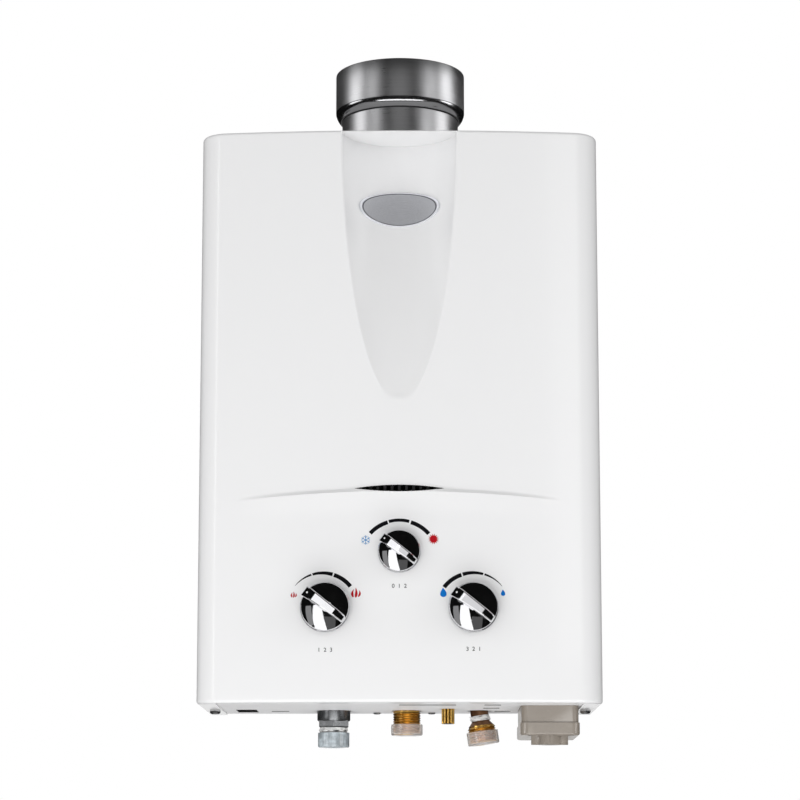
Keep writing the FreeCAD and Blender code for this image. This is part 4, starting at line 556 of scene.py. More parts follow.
def end_edit(weld=0.0):
    """Joins what is nearer than this, turns the faces outward and leaves edit mode."""
    bpy.ops.mesh.select_all(action="SELECT")
    if weld:
        bpy.ops.mesh.remove_doubles(threshold=weld)
    bpy.ops.mesh.normals_make_consistent(inside=False)
    bpy.ops.object.mode_set(mode="OBJECT")


columns = [(-1, *column) for column in reversed(half_columns[1:])]
columns += [(1, *column) for column in half_columns]
bpy.ops.mesh.primitive_grid_add(x_subdivisions=len(columns) - 1, y_subdivisions=len(stations) - 1, size=1)
cover = bpy.context.object
cover.name = "enamelled_cover"
lip_x = cover_half - lip_width
index = 0
for kind, z, inset in stations:
    lip_y = front_plane + lip_width if z < 0 else top_lip_front
    brow_pull = min(1.0, 1.6 * max(0.0, 1 - abs(z - crest_z) / brow_pull_reach))
    for side, column, t in columns:
        level = z
        spot = plan_point(column, t, z, edge_radius if kind == "lip" else inset)
        if kind == "wall" and column not in ("corner", "side"):
            level = z + brow_pull * (crest(spot.x) - brow_mid)
            push = pressed(spot.x, level)
            spot.y = max(spot.y, front_y(spot.x) + push) if push > 0 else spot.y + push
        elif kind == "wall":
            level = z + brow_pull * (brow_end - brow_mid)
        if kind == "lip":
            spot = Vector((min(spot.x, lip_x), max(spot.y, lip_y)))
        cover.data.vertices[index].co = (side * spot.x, spot.y, level)
        index += 1
start_edit(cover)
bpy.ops.mesh.remove_doubles(threshold=0.005 * mm)
bpy.ops.mesh.dissolve_degenerate(threshold=0.005 * mm)
end_edit()
add_modifier(cover, "SOLIDIFY", thickness=cover_sheet, offset=-1, use_even_offset=False)

white_colour = (0.93, 0.93, 0.935)
white_enamel, place = finish("white_enamel", white_colour, 0.3, Coat_Weight=0.45, Coat_Roughness=0.07)
flow = grain(place, 60.0, 2.0)
feed(white_enamel, Base_Color=tint(flow, scaled(white_colour, 0.992), white_colour),
     Roughness=flow * 0.06 + 0.27, Normal=relief(grain(place, 260.0, 1.0), 0.012 * mm))


def outline(name, points, y, thickness=0.0):
    """Flat plate from (x, z) points facing -Y, drawn back by its thickness."""
    bpy.ops.mesh.primitive_circle_add(vertices=len(points), radius=1, fill_type="NGON")
    plate = bpy.context.object
    plate.name = name
    for vertex, (x, z) in zip(plate.data.vertices, points):
        vertex.co = (x, y, z)
    start_edit(plate)
    if thickness:
        bpy.ops.mesh.extrude_region_move(TRANSFORM_OT_translate={"value": (0, thickness, 0)})
    end_edit()
    return plate


def cut(piece, cutter):
    """Takes the cutter's shape out of the piece."""
    add_modifier(piece, "BOOLEAN", operation="DIFFERENCE", object=cutter, solver="EXACT")
    bpy.data.objects.remove(cutter)


def turned(name, profile, segments):
    """Shell turned about Z: a ring is extruded from one (radius, z) station to the next. It gets flat
    ends, unless it runs to the axis or back to its start."""
    radius, z = profile[0]
    flat_ends = profile[-1][0] > 0 and profile[-1] != profile[0]
    bpy.ops.mesh.primitive_circle_add(vertices=segments, radius=radius, location=(0, 0, z))
    piece = bpy.context.object
    piece.name = name
    bpy.ops.object.transform_apply(location=True, rotation=False, scale=False)
    start_edit(piece)
    if flat_ends:
        bpy.ops.mesh.edge_face_add()
    for next_radius, next_z in profile[1:]:
        bpy.ops.mesh.extrude_region_move(TRANSFORM_OT_translate={"value": (0, 0, next_z - z)})
        if next_radius > 0:
            bpy.ops.transform.resize(value=(next_radius / radius, next_radius / radius, 1),
                                     center_override=(0, 0, next_z))
            radius = next_radius
        else:
            bpy.ops.mesh.merge(type="CENTER")
        z = next_z
    if flat_ends:
        bpy.ops.mesh.edge_face_add()
    end_edit(0.001 * mm)
    return piece


def set_down(piece, spot, axis=(0, 0, 1)):
    """Turns a piece made about Z so that Z lies along the axis, and puts its origin on the spot."""
    piece.data.transform(Vector(axis).to_track_quat("Z", "Y").to_matrix().to_4x4())
    piece.data.transform(Matrix.Translation(Vector(spot)))
    return piece


def middle(node):
    """Middle of a CAD node's box."""
    low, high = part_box(node)
    return (low + high) / 2


lens_turns = steps(-1.0, 1.0, 40)
lens = ([(slot_half * t, slot_z + 0.5 * slot_height * (1 - t * t)) for t in lens_turns]
        + [(-slot_half * t, slot_z - 0.5 * slot_height * (1 - t * t)) for t in lens_turns])
cut_reach = 14 * mm
cut(cover, outline("sight_slot", lens, front_plane - 6 * mm, cut_reach))
spindle_hole = 4.2 * mm
for control in ("flame", "season", "water"):
    spot = middle("knob_" + control)
    bore = turned("spindle_hole", [(spindle_hole, 0), (spindle_hole, cut_reach)], 40)
    cut(cover, set_down(bore, (spot.x, front_plane - cut_reach / 2, spot.z), (0, 1, 0)))
fit(cover, white_enamel, "white_enamel", "root", "front_cover", smooth=28, light=for_enamel)

# ---- Top and bottom plates -----------------------------------------------------------------------
# Folded sheets in the cover's enamel, screwed to it: the flue stands through the top one, and the ports
# through the bottom one, which is slit for air. Round each slit the enamel is painted near black, a
# painted shade.
panel_enamel, place = finish("panel_enamel", white_colour, 0.42)
dust = grain(place, 420.0, 3.0)
# The slits of the bottom plate: from x to x, from y to y behind the front, in millimetres.
slits = ((-123.5, -108.5, 99.8, 128.2), (-97.6, -84.9, 116.3, 120.1), (-0.1, 41.1, 44.3, 48.1),
         (62.5, 74.0, 45.3, 49.1), (62.5, 74.0, 80.3, 84.1), (72.0, 83.5, 116.3, 120.1))
slit_shade_end, slit_shade_side = 0.3, 1.8  # width of the painted shade round a slit, at its ends and along its sides


def within(coordinate, low, high):
    """1 from low to high, 0 elsewhere, with a thin blurred edge."""
    blur = 0.05 * mm
    return coordinate.between(low - blur, low) * (1 - coordinate.between(high, high + blur))


behind_front = place.along("Y") - front_plane
# Painted shade: near black over each slit and in a band round it.
painted_slit_shade = sum(within(place.along("X"), (x0 - slit_shade_end) * mm, (x1 + slit_shade_end) * mm)
              * within(behind_front, (y0 - slit_shade_side) * mm, (y1 + slit_shade_side) * mm)
              for x0, x1, y0, y1 in slits)
feed(panel_enamel, Base_Color=tint(painted_slit_shade, scaled(white_colour, 0.97), scaled(white_colour, 0.03)),
     Roughness=dust * 0.12 + 0.36, Normal=relief(dust, 0.02 * mm))
for node in ("top_plate", "bottom_plate"):
    skin(node, panel_enamel)

# ---- Badge plate ---------------------------------------------------------------------------------
# A pressed aluminium oval stuck in the scoop, bare: brushed field, thin dark line, polished rim.
low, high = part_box("badge_plate")
badge_half_x, badge_half_z = (high.x - low.x) / 2, (high.z - low.z) / 2
badge_z = middle("badge_plate").z
badge_film = 0.05 * mm
# The oval's section: share of its half width, rise in millimetres.
badge_rim = [(1.0, 0.0), (1.0, 0.8), (0.988, 1.15), (0.968, 1.35), (0.948, 1.3), (0.932, 1.0),
             (0.924, 0.7)]
badge_field = [(0.90, 0.66), (0.8, 0.8), (0.65, 0.94), (0.5, 1.04), (0.35, 1.1), (0.2, 1.14), (0.0, 1.16)]
badge = turned("badge_oval", badge_rim + badge_field, 128)
for vertex in badge.data.vertices:
    x, up, rise = vertex.co.x * badge_half_x, vertex.co.y * badge_half_z, vertex.co.z * mm
    z = badge_z + up
    axis = front_plane + (z - cover_top) * math.tan(scoop_slant)
    radius = scoop_radius - badge_film - rise
    vertex.co = (x, axis + math.sqrt(radius ** 2 - x ** 2) / math.cos(scoop_slant), z)
silver = (0.72, 0.73, 0.77)
brushed_badge, place = finish("brushed_badge", silver, 0.3, Metallic=0.3)
axes = place.node("ShaderNodeMapping", {"vector_type": "TEXTURE"},
                  {"Vector": place, "Location": (0, 0, badge_z),
                   "Scale": (badge_half_x, 1, badge_half_z)})
reach = axes.vector("MULTIPLY", (1, 0, 1)).vector("LENGTH")
field = 1 - reach.between(0.925, 0.935)
dark_line = reach.between(0.89, 0.9) * field
strokes = grain(place, 2600.0, 2.0, (0.04, 1, 1))
brushed = tint(strokes, scaled(silver, 0.62), scaled(silver, 0.9))
lined = tint(dark_line, brushed, (0.12, 0.12, 0.14))
feed(brushed_badge, Base_Color=tint(field, scaled(silver, 1.3), lined),
     Roughness=field * 0.24 + 0.1 + strokes * 0.06)
fit(badge, brushed_badge, "badge", "root", "badge_plate")

# ---- Knobs ---------------------------------------------------------------------------------------
# Three chromed zinc knobs: a base ring, a dome and a tapering grip whose wide end points to the scale.
# One is built in millimetres about Z with its pointer along X, and its copies are laid on the front; the
# middle one is smaller.
knob_radius = 18.3
dome_radius = 17.25
ring_height = 2.4
dome_height = 13.2
grip_height = 21.0
grip_tip, grip_tail = 1.07 * dome_radius, -0.99 * dome_radius
grip_wide, grip_narrow = 9.2, 5.6
grip_edge = 1.0
skirt_height = 5.4
pointer_angle = 144.0
dot_radius = 0.75

chrome_colour = (0.86, 0.86, 0.88)
chrome, place = finish("chrome", chrome_colour, 0.05, Metallic=1.0)
smudge = grain(place, 140.0, 4.0)
feed(chrome, Roughness=smudge.between(0.45, 0.8) * 0.07 + 0.035,
     Base_Color=tint(smudge, scaled(chrome_colour, 0.94), chrome_colour))


def arc_through(a, b, c, count):
    """Points of the circle through three (radius, z) points, from a to c."""
    turns = ((a, b, c), (b, c, a), (c, a, b))
    twice_area = sum(p[0] * (q[1] - r[1]) for p, q, r in turns)
    middle_x = sum((p[0] ** 2 + p[1] ** 2) * (q[1] - r[1]) for p, q, r in turns) / twice_area / 2
    middle_z = sum((p[0] ** 2 + p[1] ** 2) * (r[0] - q[0]) for p, q, r in turns) / twice_area / 2
    start, end = (math.atan2(p[1] - middle_z, p[0] - middle_x) for p in (a, c))
    reach = math.hypot(a[0] - middle_x, a[1] - middle_z)
    return [(middle_x + reach * math.cos(turn), middle_z + reach * math.sin(turn))
            for turn in steps(start, end, count)] + [c]


def joined(name, *group):
    """One object of one or several pieces."""
    pick(*group)
    if len(group) > 1:
        bpy.ops.object.join()
    group[0].name = name
    return group[0]


skirt_radius, skirt_top = dome_radius - 0.15, ring_height + skirt_height
base_ring = [(knob_radius, 0), (knob_radius, 1.44), (knob_radius - 0.15, 1.7),
             (knob_radius - 0.8, ring_height), (dome_radius + 0.15, ring_height + 0.02),
             (dome_radius, ring_height + 0.2)]
skirt = [(skirt_radius, skirt_top - 0.2), (skirt_radius - 0.05, skirt_top - 0.06)]
crown = arc_through((skirt_radius - 0.2, skirt_top + 0.04), (0.74 * dome_radius, 0.78 * dome_height),
                    (0, dome_height), 26)
dome = turned("knob_dome", base_ring + skirt + crown, 128)

# Side view of the grip: tail, rounded top, then a facet down to the tip, which carries the dot.
facet_run, facet_fall = 6.6, 0.20 * grip_height
side = [(grip_tail, ring_height + 1), (grip_tail, 0.67 * grip_height)]
side += arc_through((grip_tail + 6.2, 0.95 * grip_height), (1.0, 0.984 * grip_height),
                    (grip_tip - facet_run, grip_height), 8)
side += [(grip_tip, grip_height - facet_fall), (grip_tip - 0.8, ring_height + 1)]
grip = outline("knob_grip", side, -0.5, 1.0)
for vertex in grip.data.vertices:
    share = (vertex.co.x - grip_tail) / (grip_tip - grip_tail)
    draft = 1 - 0.10 * (vertex.co.z / grip_height)
    vertex.co.y *= (grip_narrow + (grip_wide - grip_narrow) * share) * draft
add_modifier(grip, "BEVEL", width=grip_edge, segments=2, profile=0.38, limit_method="ANGLE",
             angle_limit=math.radians(20))
# The dot on the tip is painted white: a pointer mark and also a painted highlight for the tip's glint.
dot_form = turned("dot_form", [(dot_radius, 0), (0.9 * dot_radius, 0.2), (0.6 * dot_radius, 0.3),
                               (0, 0.36)], 24)
set_down(dot_form, (grip_tip - facet_run / 2, 0, grip_height - facet_fall / 2), (facet_fall, 0, facet_run))
knob_form = joined("knob_form", dome, grip)
for piece in (knob_form, dot_form):
    piece.data.transform(Matrix.Rotation(math.radians(pointer_angle), 4, "Z"))

for control in ("flame", "season", "water"):
    node = "knob_" + control
    low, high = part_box(node)
    spindle = middle("spindle_" + control)
    knob = copied(knob_form, "chrome_knob_" + control)
    dot = copied(dot_form, "pointer_dot_" + control)
    for piece in (knob, dot):
        piece.scale = ((high.y - low.y) / grip_height,) * 3
        piece.rotation_euler = (math.radians(90), 0, 0)
        piece.location = (spindle.x, high.y, spindle.z)
    fit(knob, chrome, "chrome", bodies[node], node, smooth=20, light=for_knobs)
    # The white dot is a pointer mark and also a painted highlight for the glint on the tip.
    fit(dot, white_enamel, "white_enamel", bodies[node])
for form in (knob_form, dot_form):
    bpy.data.objects.remove(form)

# ---- Printed scales ------------------------------------------------------------------------------
# Screen-printed on the enamel: a three-part scale over each knob, small signs for flame, water, cold
# and sun, and plain step numbers.
ink_lift = 0.07 * mm

ink, place = finish("black_ink", (0.006, 0.006, 0.008), 0.5, Specular_IOR_Level=0.12)
feed(ink, Roughness=grain(place, 900.0) * 0.15 + 0.42)


def coloured_ink(name, colour):
    """Ink of this colour with a faint mottle."""
    made, spot = finish(name, colour, 0.5, Specular_IOR_Level=0.12)
    feed(made, Base_Color=tint(grain(spot, 1500.0), scaled(colour, 0.85), colour))
    return made


red_ink = coloured_ink("red_ink", (0.50, 0.006, 0.014))
blue_ink = coloured_ink("blue_ink", (0.004, 0.180, 0.62))
ice_ink = coloured_ink("ice_ink", (0.075, 0.30, 0.62))


def printed(name, made, *pieces):
    """Lays flat (x, z) pieces on the bowed front as one print."""
    film = joined(name, *pieces)
    start_edit(film)
    bpy.ops.mesh.quads_convert_to_tris()
    bpy.ops.object.mode_set(mode="OBJECT")
    for vertex in film.data.vertices:
        vertex.co.y = front_y(vertex.co.x) - ink_lift
    fit(film, made, "black_plastic", "root")


def band(x, z, radius, start, end, thick, thick_end):
    """Arc of a ring round (x, z), from one angle to another, its width running to thick_end."""
    count = 28
    outer, inner = [], []
    for i in range(count + 1):
        turn = math.radians(start + (end - start) * i / count)
        width = thick + (thick_end - thick) * i / count
        outer.append((x + radius * math.cos(turn), z + radius * math.sin(turn)))
        inner.append((x + (radius - width) * math.cos(turn), z + (radius - width) * math.sin(turn)))
    return outline("band", outer + inner[::-1], 0)


def blob(x, z, size, shape, count=48):
    """Outline of a sign: shape gives (x, z) in units of its size for a turn from 0 to 1."""
    points = [shape(turn) for turn in steps(0.0, 1.0, count)]
    return outline("sign", [(x + size * px, z + size * pz) for px, pz in points], 0)


def drop_shape(t):
    """Drop with a tip that leans a little to the left."""
    turn = 2 * math.pi * t
    lean = 0.06 * max(0.0, math.cos(turn)) ** 2
    return 0.46 * math.sin(turn) * math.sin(turn / 2) ** 1.2 - lean, 0.5 * math.cos(turn)


sun_points = 14


def sun_shape(t):
    """Small sun: a toothed disc."""
    turn = 2 * math.pi * t
    radius = 0.56 if round(t * 2 * sun_points) % 2 == 0 else 0.33
    return radius * math.cos(turn), radius * math.sin(turn)


def leaf(x, z, length, width, lean, curl):
    """Pointed flame tongue: a centre line that leans and curls, its width swelling low down."""
    left, right = [], []
    for i in range(15):
        along = i / 14
        centre = x + lean * along + curl * math.sin(math.pi * along)
        half = width * math.sin(math.pi * along ** 0.62) ** 0.9 / 2
        left.append((centre - half, z + length * along))
        right.append((centre + half, z + length * along))
    return outline("tongue", right[:-1] + left[:0:-1], 0)


def scale_print(control, x, up, radius, *parts):
    """Scale over a knob: its middle above the foot, its radius, then the parts of its ring, each from
    angle to angle and from width to width."""
    printed(control + "_scale", ink, *(band(x, cover_foot + up * mm, radius * mm, start, end,
                                            first * mm, last * mm) for start, end, first, last in parts))


knob_x = middle("spindle_water").x
scale_print("flame", -knob_x - 1.3 * mm, 68.2, 26.1,
            (142.2, 110.5, 0.3, 1.5), (108.4, 74.6, 1.7, 2.7), (72.3, 37.8, 2.9, 3.0))
scale_print("season", 0.0, 102.7, 29.9,
            (137.6, 107.1, 2.9, 2.9), (105.3, 75.4, 2.3, 2.3), (72.8, 41.4, 2.9, 2.9))
scale_print("water", knob_x - 0.6 * mm, 67.4, 27.0,
            (143.2, 108.0, 3.0, 2.9), (105.9, 72.7, 2.7, 1.7), (70.6, 37.5, 1.5, 0.3))


def flame_sign(x, z, size):
    """Three tongues rising from one foot."""
    foot = z - 0.5 * size
    return [leaf(x - 0.26 * size, foot + 0.04 * size, 0.82 * size, 0.25 * size, 0.08 * size, -0.13 * size),
            leaf(x - 0.02 * size, foot, 1.0 * size, 0.27 * size, 0.0, 0.07 * size),
            leaf(x + 0.24 * size, foot + 0.07 * size, 0.66 * size, 0.22 * size, 0.10 * size, 0.10 * size)]


def snow_sign(x, z, size):
    """Six-armed crystal of thin bars."""
    bars = []
    for i in range(6):
        turn = math.radians(60 * i + 30)
        arm, across = Vector((math.cos(turn), math.sin(turn))), Vector((-math.sin(turn), math.cos(turn)))
        bars.append((Vector((0, 0)), arm * 0.5, 0.035 * across))
        for side in (-1, 1):
            twig = arm * 0.17 + across * side * 0.17
            bars.append((arm * 0.26, arm * 0.26 + twig, 0.028 * Vector((-twig.y, twig.x)).normalized()))
    return [outline("bar", [(x + size * corner.x, z + size * corner.y) for corner in
                            (start - half, end - half, end + half, start + half)], 0)
            for start, end, half in bars]


printed("low_flame_sign", red_ink, *flame_sign(-76.2 * mm, cover_foot + 77.7 * mm, 4.6 * mm))
printed("high_flame_sign", red_ink, *flame_sign(-31.3 * mm, cover_foot + 78.8 * mm, 7.4 * mm))
printed("much_water_sign", blue_ink, blob(31.8 * mm, cover_foot + 79.0 * mm, 6.8 * mm, drop_shape))
printed("little_water_sign", blue_ink, blob(74.9 * mm, cover_foot + 78.9 * mm, 4.6 * mm, drop_shape))
printed("cold_season_sign", ice_ink, *snow_sign(-24.3 * mm, cover_foot + 117.0 * mm, 6.8 * mm))
printed("warm_season_sign", red_ink,
        blob(24.8 * mm, cover_foot + 117.7 * mm, 7.4 * mm, sun_shape, 2 * sun_points))

figure_height = 3.0 * mm
figure_weight = 0.03 * mm


def numbers(text, x, z):
    """Plain printed figures, centred."""
    bpy.ops.object.text_add()
    words = bpy.context.object
    words.data.body = text
    words.data.align_x = "CENTER"
    words.data.align_y = "CENTER"
    words.data.size = figure_height * 1.38    # a figure is 1 / 1.38 of the type size
    words.data.offset = figure_weight
    bpy.ops.object.convert(target="MESH")
    figures = bpy.context.object
    for vertex in figures.data.vertices:
        vertex.co = (vertex.co.x + x, 0, vertex.co.y + z)
    return figures


printed("flame_numbers", ink, numbers("1  2  3", -knob_x, cover_foot + 37.5 * mm))
printed("water_numbers", ink, numbers("3  2  1", knob_x, cover_foot + 38.1 * mm))
printed("season_number", ink, numbers("0  1  2", 0.0, cover_foot + 83.5 * mm))

# ---- Flue ----------------------------------------------------------------------------------------
# A spun steel neck stands on the draft hood and carries a wider collar for the flue pipe. The collar is
# drawn in under a round shoulder, where it grips the neck, and its wall ends in a rolled rim.
neck_low, neck_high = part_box("flue_neck")
collar_low, collar_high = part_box("flue_collar")
flue_y = middle("flue_collar").y
neck_flange = 4 * mm
neck_radius = neck_high.x - neck_flange
flue_sheet = 0.8 * mm
collar_radius, mouth = collar_high.x, collar_high.z
throat = 46.4 * mm
grip_radius = neck_radius + 0.05 * mm
shoulder_top = cover_top + 40 * mm
band_top = cover_top + 36.5 * mm
rim_roll = 0.4 * mm

steel_grey = (0.47, 0.47, 0.48)
flue_steel, place = finish("flue_steel", steel_grey, 0.3, Metallic=1.0, Anisotropic=0.45)
spin_marks = grain(place, 1500.0, 2.0, (0.03, 0.03, 1))
handling = grain(place, 26.0, 3.0)
height = place.along("Z")
burnished = (height.between(collar_low.z - 0.2 * mm, collar_low.z + 0.2 * mm)
             * (1 - height.between(shoulder_top - 0.2 * mm, shoulder_top)))
# Painted shade: thin dark rings where the collar meets the neck and at the top of its shoulder.
painted_crease_shade = sum(height.between(z - 0.45 * mm, z - 0.1 * mm)
              * (1 - height.between(z + 0.2 * mm, z + 0.5 * mm)) for z in (collar_low.z, shoulder_top))
# Painted shade: the collar darkens towards its mouth.
painted_mouth_shade = height.between(mouth - 11 * mm, mouth - 2 * mm) * 0.22
streaks = tint(spin_marks * 0.7 + handling * 0.3, scaled(steel_grey, 0.84), scaled(steel_grey, 1.1))
feed(flue_steel, Base_Color=tint(painted_mouth_shade + painted_crease_shade * 0.9, streaks, scaled(steel_grey, 0.1)),
     Roughness=(spin_marks * 0.1 + handling.between(0.4, 0.7) * 0.06 + 0.24) * (1 - burnished * 0.5),
     Normal=relief(spin_marks, 0.004 * mm))


def bored(name, bore, profile, segments=96):
    """Turned piece with a straight bore: the profile runs along its outside, and the bore closes it."""
    start, end = profile[0][1], profile[-1][1]
    return turned(name, [(bore, start), *profile, (bore, end), (bore, start)], segments)


neck = bored("spun_neck", neck_radius - flue_sheet,
             [(neck_radius + neck_flange, neck_low.z),
              (neck_radius + neck_flange, neck_low.z + flue_sheet),
              (neck_radius + 0.6 * mm, neck_low.z + flue_sheet), (neck_radius, neck_low.z + 1.4 * mm),
              (neck_radius, neck_high.z)], 160)
fit(set_down(neck, (0, flue_y, 0)), flue_steel, "flue_steel", "root", "flue_neck", light=for_flue)

shoulder_middle = ((throat + collar_radius) / 2 + 0.54 * mm, (collar_low.z + shoulder_top) / 2 - 0.3 * mm)
shoulder = arc_through((throat, collar_low.z + 0.1 * mm), shoulder_middle,
                       (collar_radius, shoulder_top), 24)
rim = [(collar_radius, mouth - 2 * rim_roll), (collar_radius - 0.12 * mm, mouth - 0.3 * rim_roll),
       (collar_radius - rim_roll, mouth), (collar_radius - 1.7 * rim_roll, mouth - 0.2 * rim_roll),
       (collar_radius - flue_sheet, mouth - rim_roll)]
socket = [(collar_radius - flue_sheet, shoulder_top + rim_roll),
          (grip_radius + 0.5 * flue_sheet, band_top + 1.5 * flue_sheet)]
collar = bored("spun_collar", grip_radius, [(throat - 0.3 * mm, collar_low.z), *shoulder, *rim, *socket,
                                            (grip_radius, band_top)], 160)
fit(set_down(collar, (0, flue_y, 0)), flue_steel, "flue_steel", "root", "flue_collar", light=for_flue)

# ---- Screws --------------------------------------------------------------------------------------
# Zinc-plated pan heads with a cross recess: four hold the cover, two smaller ones the bottom plate.
cross_reach = 0.62             # half length and half width in head radii, depth in head heights
cross_width = 0.11
cross_depth = 0.55


def saw(piece, top, half_size, turn=0):
    """Saws a slot of this half length, half width and depth across the top of a piece turned about Z."""
    bpy.ops.mesh.primitive_cube_add(size=2, location=(0, 0, top))
    blade = bpy.context.object
    blade.scale = half_size
    bpy.ops.object.transform_apply(location=True, rotation=False, scale=True)
    blade.data.transform(Matrix.Rotation(math.radians(turn), 4, "Z"))
    cut(piece, blade)


def pan_screw(radius, height):
    """Head and stub of a screw whose head stands on Z = 0 and points up."""
    stub = [(0.45, -2), (0.45, 0)]
    dome = [(1, 0), (1, 0.3), (0.94, 0.62), (0.8, 0.86), (0.6, 0.97), (0.02, 1)]
    head = turned("pan_head", [(radius * across, height * up) for across, up in stub + dome], 48)
    for turn in (20, 110):
        saw(head, height, (cross_reach * radius, cross_width * radius, cross_depth * height), turn)
    return head


def screws(name, node, spots, radius, height):
    """Equal screws at (x, y, z, way) places as one piece. The way is up (1) or down (-1)."""
    form = pan_screw(radius, height)
    heads = [set_down(copied(form, name), spot[:3], (0, 0, spot[3])) for spot in spots]
    bpy.data.objects.remove(form)
    fit(joined(name, *heads), screw_steel, "screw_steel", "root", node)


low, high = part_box("cover_screws")
screw_head, head_height = 4.0 * mm, 2.2 * mm
screw_x = high.x - screw_head
screws("cover_pan_screws", "cover_screws",
       [(side * screw_x, low.y + screw_head, cover_foot, -1) for side in (-1, 1)]
       + [(side * screw_x, high.y - screw_head, cover_top, 1) for side in (-1, 1)],
       screw_head, head_height)
low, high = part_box("plate_screws")
small_head, small_height = (high.y - low.y) / 2, 0.6 * head_height
screws("plate_pan_screws", "plate_screws",
       [(x, middle("plate_screws").y, low.z + small_height, -1)
        for x in (low.x + small_head, high.x - small_head)], small_head, small_height)

# ---- Threaded ports ------------------------------------------------------------------------------
# Half-inch pipe threads below the cabinet: the gas inlet is a dark casting with a hexagon, the hot
# outlet plain brass, the cold inlet brass on a dark bronze neck that leans a little. White thread tape
# is wound on two of them, and push-on plastic caps keep the threads clean.
thread_pitch = 1.814 * mm
thread_crest = 10.48 * mm
thread_root = 9.6 * mm
cap_radius, cap_wall = 11.9 * mm, 0.5 * mm
down = (0, 0, -1)
flats = 1 / math.cos(math.radians(30))    # corner radius of a hexagon to half its width across flats


def thread(start, end):
    """Helical ridge on a core, along Z from start to end."""
    turns = max(1, round((end - start) / thread_pitch))
    step = (end - start) / turns
    bpy.ops.mesh.primitive_circle_add(vertices=5, radius=1, fill_type="NOTHING")
    ridge = bpy.context.object
    shape = [(thread_root - 0.4 * mm, 0), (thread_root, 0), (thread_crest, 0.42 * step),
             (thread_crest, 0.58 * step), (thread_root, step)]
    for vertex, (x, z) in zip(ridge.data.vertices, shape):
        vertex.co = (x, 0, start + z)
    count = 64
    add_modifier(ridge, "SCREW", axis="Z", steps=count, render_steps=count, iterations=turns,
                 screw_offset=step, use_smooth_shade=True, use_merge_vertices=False)
    start_edit(ridge)
    bpy.ops.mesh.fill_holes(sides=6)
    end_edit()
    return ridge


def pipe_end(name, bore, start, end, bevel):
    """Core of a threaded pipe end, bevelled at its mouth."""
    return bored(name, bore, [(thread_root, start), (thread_root, end - bevel),
                              (thread_root - bevel, end)])


def hang(piece, spot, axis, made, slot, body, *nodes):
    """Sets a finished piece of a port below the cabinet."""
    fit(set_down(piece, spot, axis), made, slot, body, *nodes, light=for_ports)


def crumpled(piece, amount, scale, seed):
    """Wound tape: smooth noise of this many waves a metre pushes a turned sleeve in and out."""
    for vertex in piece.data.vertices:
        x, y, z = vertex.co
        push = noise.noise(Vector((x * scale + seed, y * scale, 2.4 * z * scale)))
        vertex.co += Vector((x, y, 0)).normalized() * push * amount


casting_colour = (0.20, 0.205, 0.21)
gas_casting, place = finish("gas_casting", casting_colour, 0.3, Metallic=0.9)
sand = grain(place, 1300.0, 3.0)
wear = grain(place, 160.0, 4.0).between(0.5, 0.75)
feed(gas_casting,
     Base_Color=tint(sand * 0.5 + wear * 0.5, scaled(casting_colour, 0.6), scaled(casting_colour, 2.1)),
     Roughness=sand * 0.2 + 0.2, Normal=relief(sand, 0.03 * mm))

bronze_colour = (0.20, 0.105, 0.055)
bronze, place = finish("bronze", bronze_colour, 0.34, Metallic=0.95)
patina = grain(place, 260.0, 4.0)
feed(bronze, Base_Color=tint(patina, scaled(bronze_colour, 0.5), scaled(bronze_colour, 1.5)),
     Roughness=patina * 0.25 + 0.24, Normal=relief(patina, 0.05 * mm))

tape_white = (0.84, 0.84, 0.82)
ptfe_tape, place = finish("ptfe_tape", tape_white, 0.38, Sheen_Weight=0.2)
folds_and_fold_shade = grain(place, 420.0, 4.0, (0.5, 0.5, 1.6))
# The folds are a real bump; their low spots are also painted grey, a painted shade.
feed(ptfe_tape, Base_Color=tint(folds_and_fold_shade.between(0.3, 0.6), (0.52, 0.53, 0.53), tape_white),
     Roughness=folds_and_fold_shade * 0.2 + 0.3, Normal=relief(folds_and_fold_shade, 0.35 * mm))

cap_grey = (0.42, 0.47, 0.50)
grey_cap, place = finish("grey_cap", cap_grey, 0.24, Coat_Weight=0.5)
cloud = grain(place, 170.0, 3.0)
feed(grey_cap, Base_Color=tint(cloud.between(0.35, 0.7), scaled(cap_grey, 0.72), scaled(cap_grey, 1.35)),
     Roughness=cloud * 0.15 + 0.18, Normal=relief(cloud, 0.08 * mm))

cap_tint = (0.90, 0.87, 0.85)
clear_cap, place = finish("clear_cap", cap_tint, 0.12, Transmission_Weight=0.78, IOR=1.42)
haze = grain(place, 240.0, 3.0)
feed(clear_cap, Base_Color=tint(haze, scaled(cap_tint, 0.90), cap_tint), Roughness=haze * 0.16 + 0.1)


def fluted(piece, count, beyond, depth, power):
    """Draws the surface beyond this radius in by so many rounded grooves. A greater power makes them
    narrower."""
    for vertex in piece.data.vertices:
        out = math.hypot(vertex.co.x, vertex.co.y)
        if out > beyond:
            groove = (0.5 + 0.5 * math.cos(count * math.atan2(vertex.co.y, vertex.co.x))) ** power
            vertex.co.x *= 1 - depth * groove / out
            vertex.co.y *= 1 - depth * groove / out


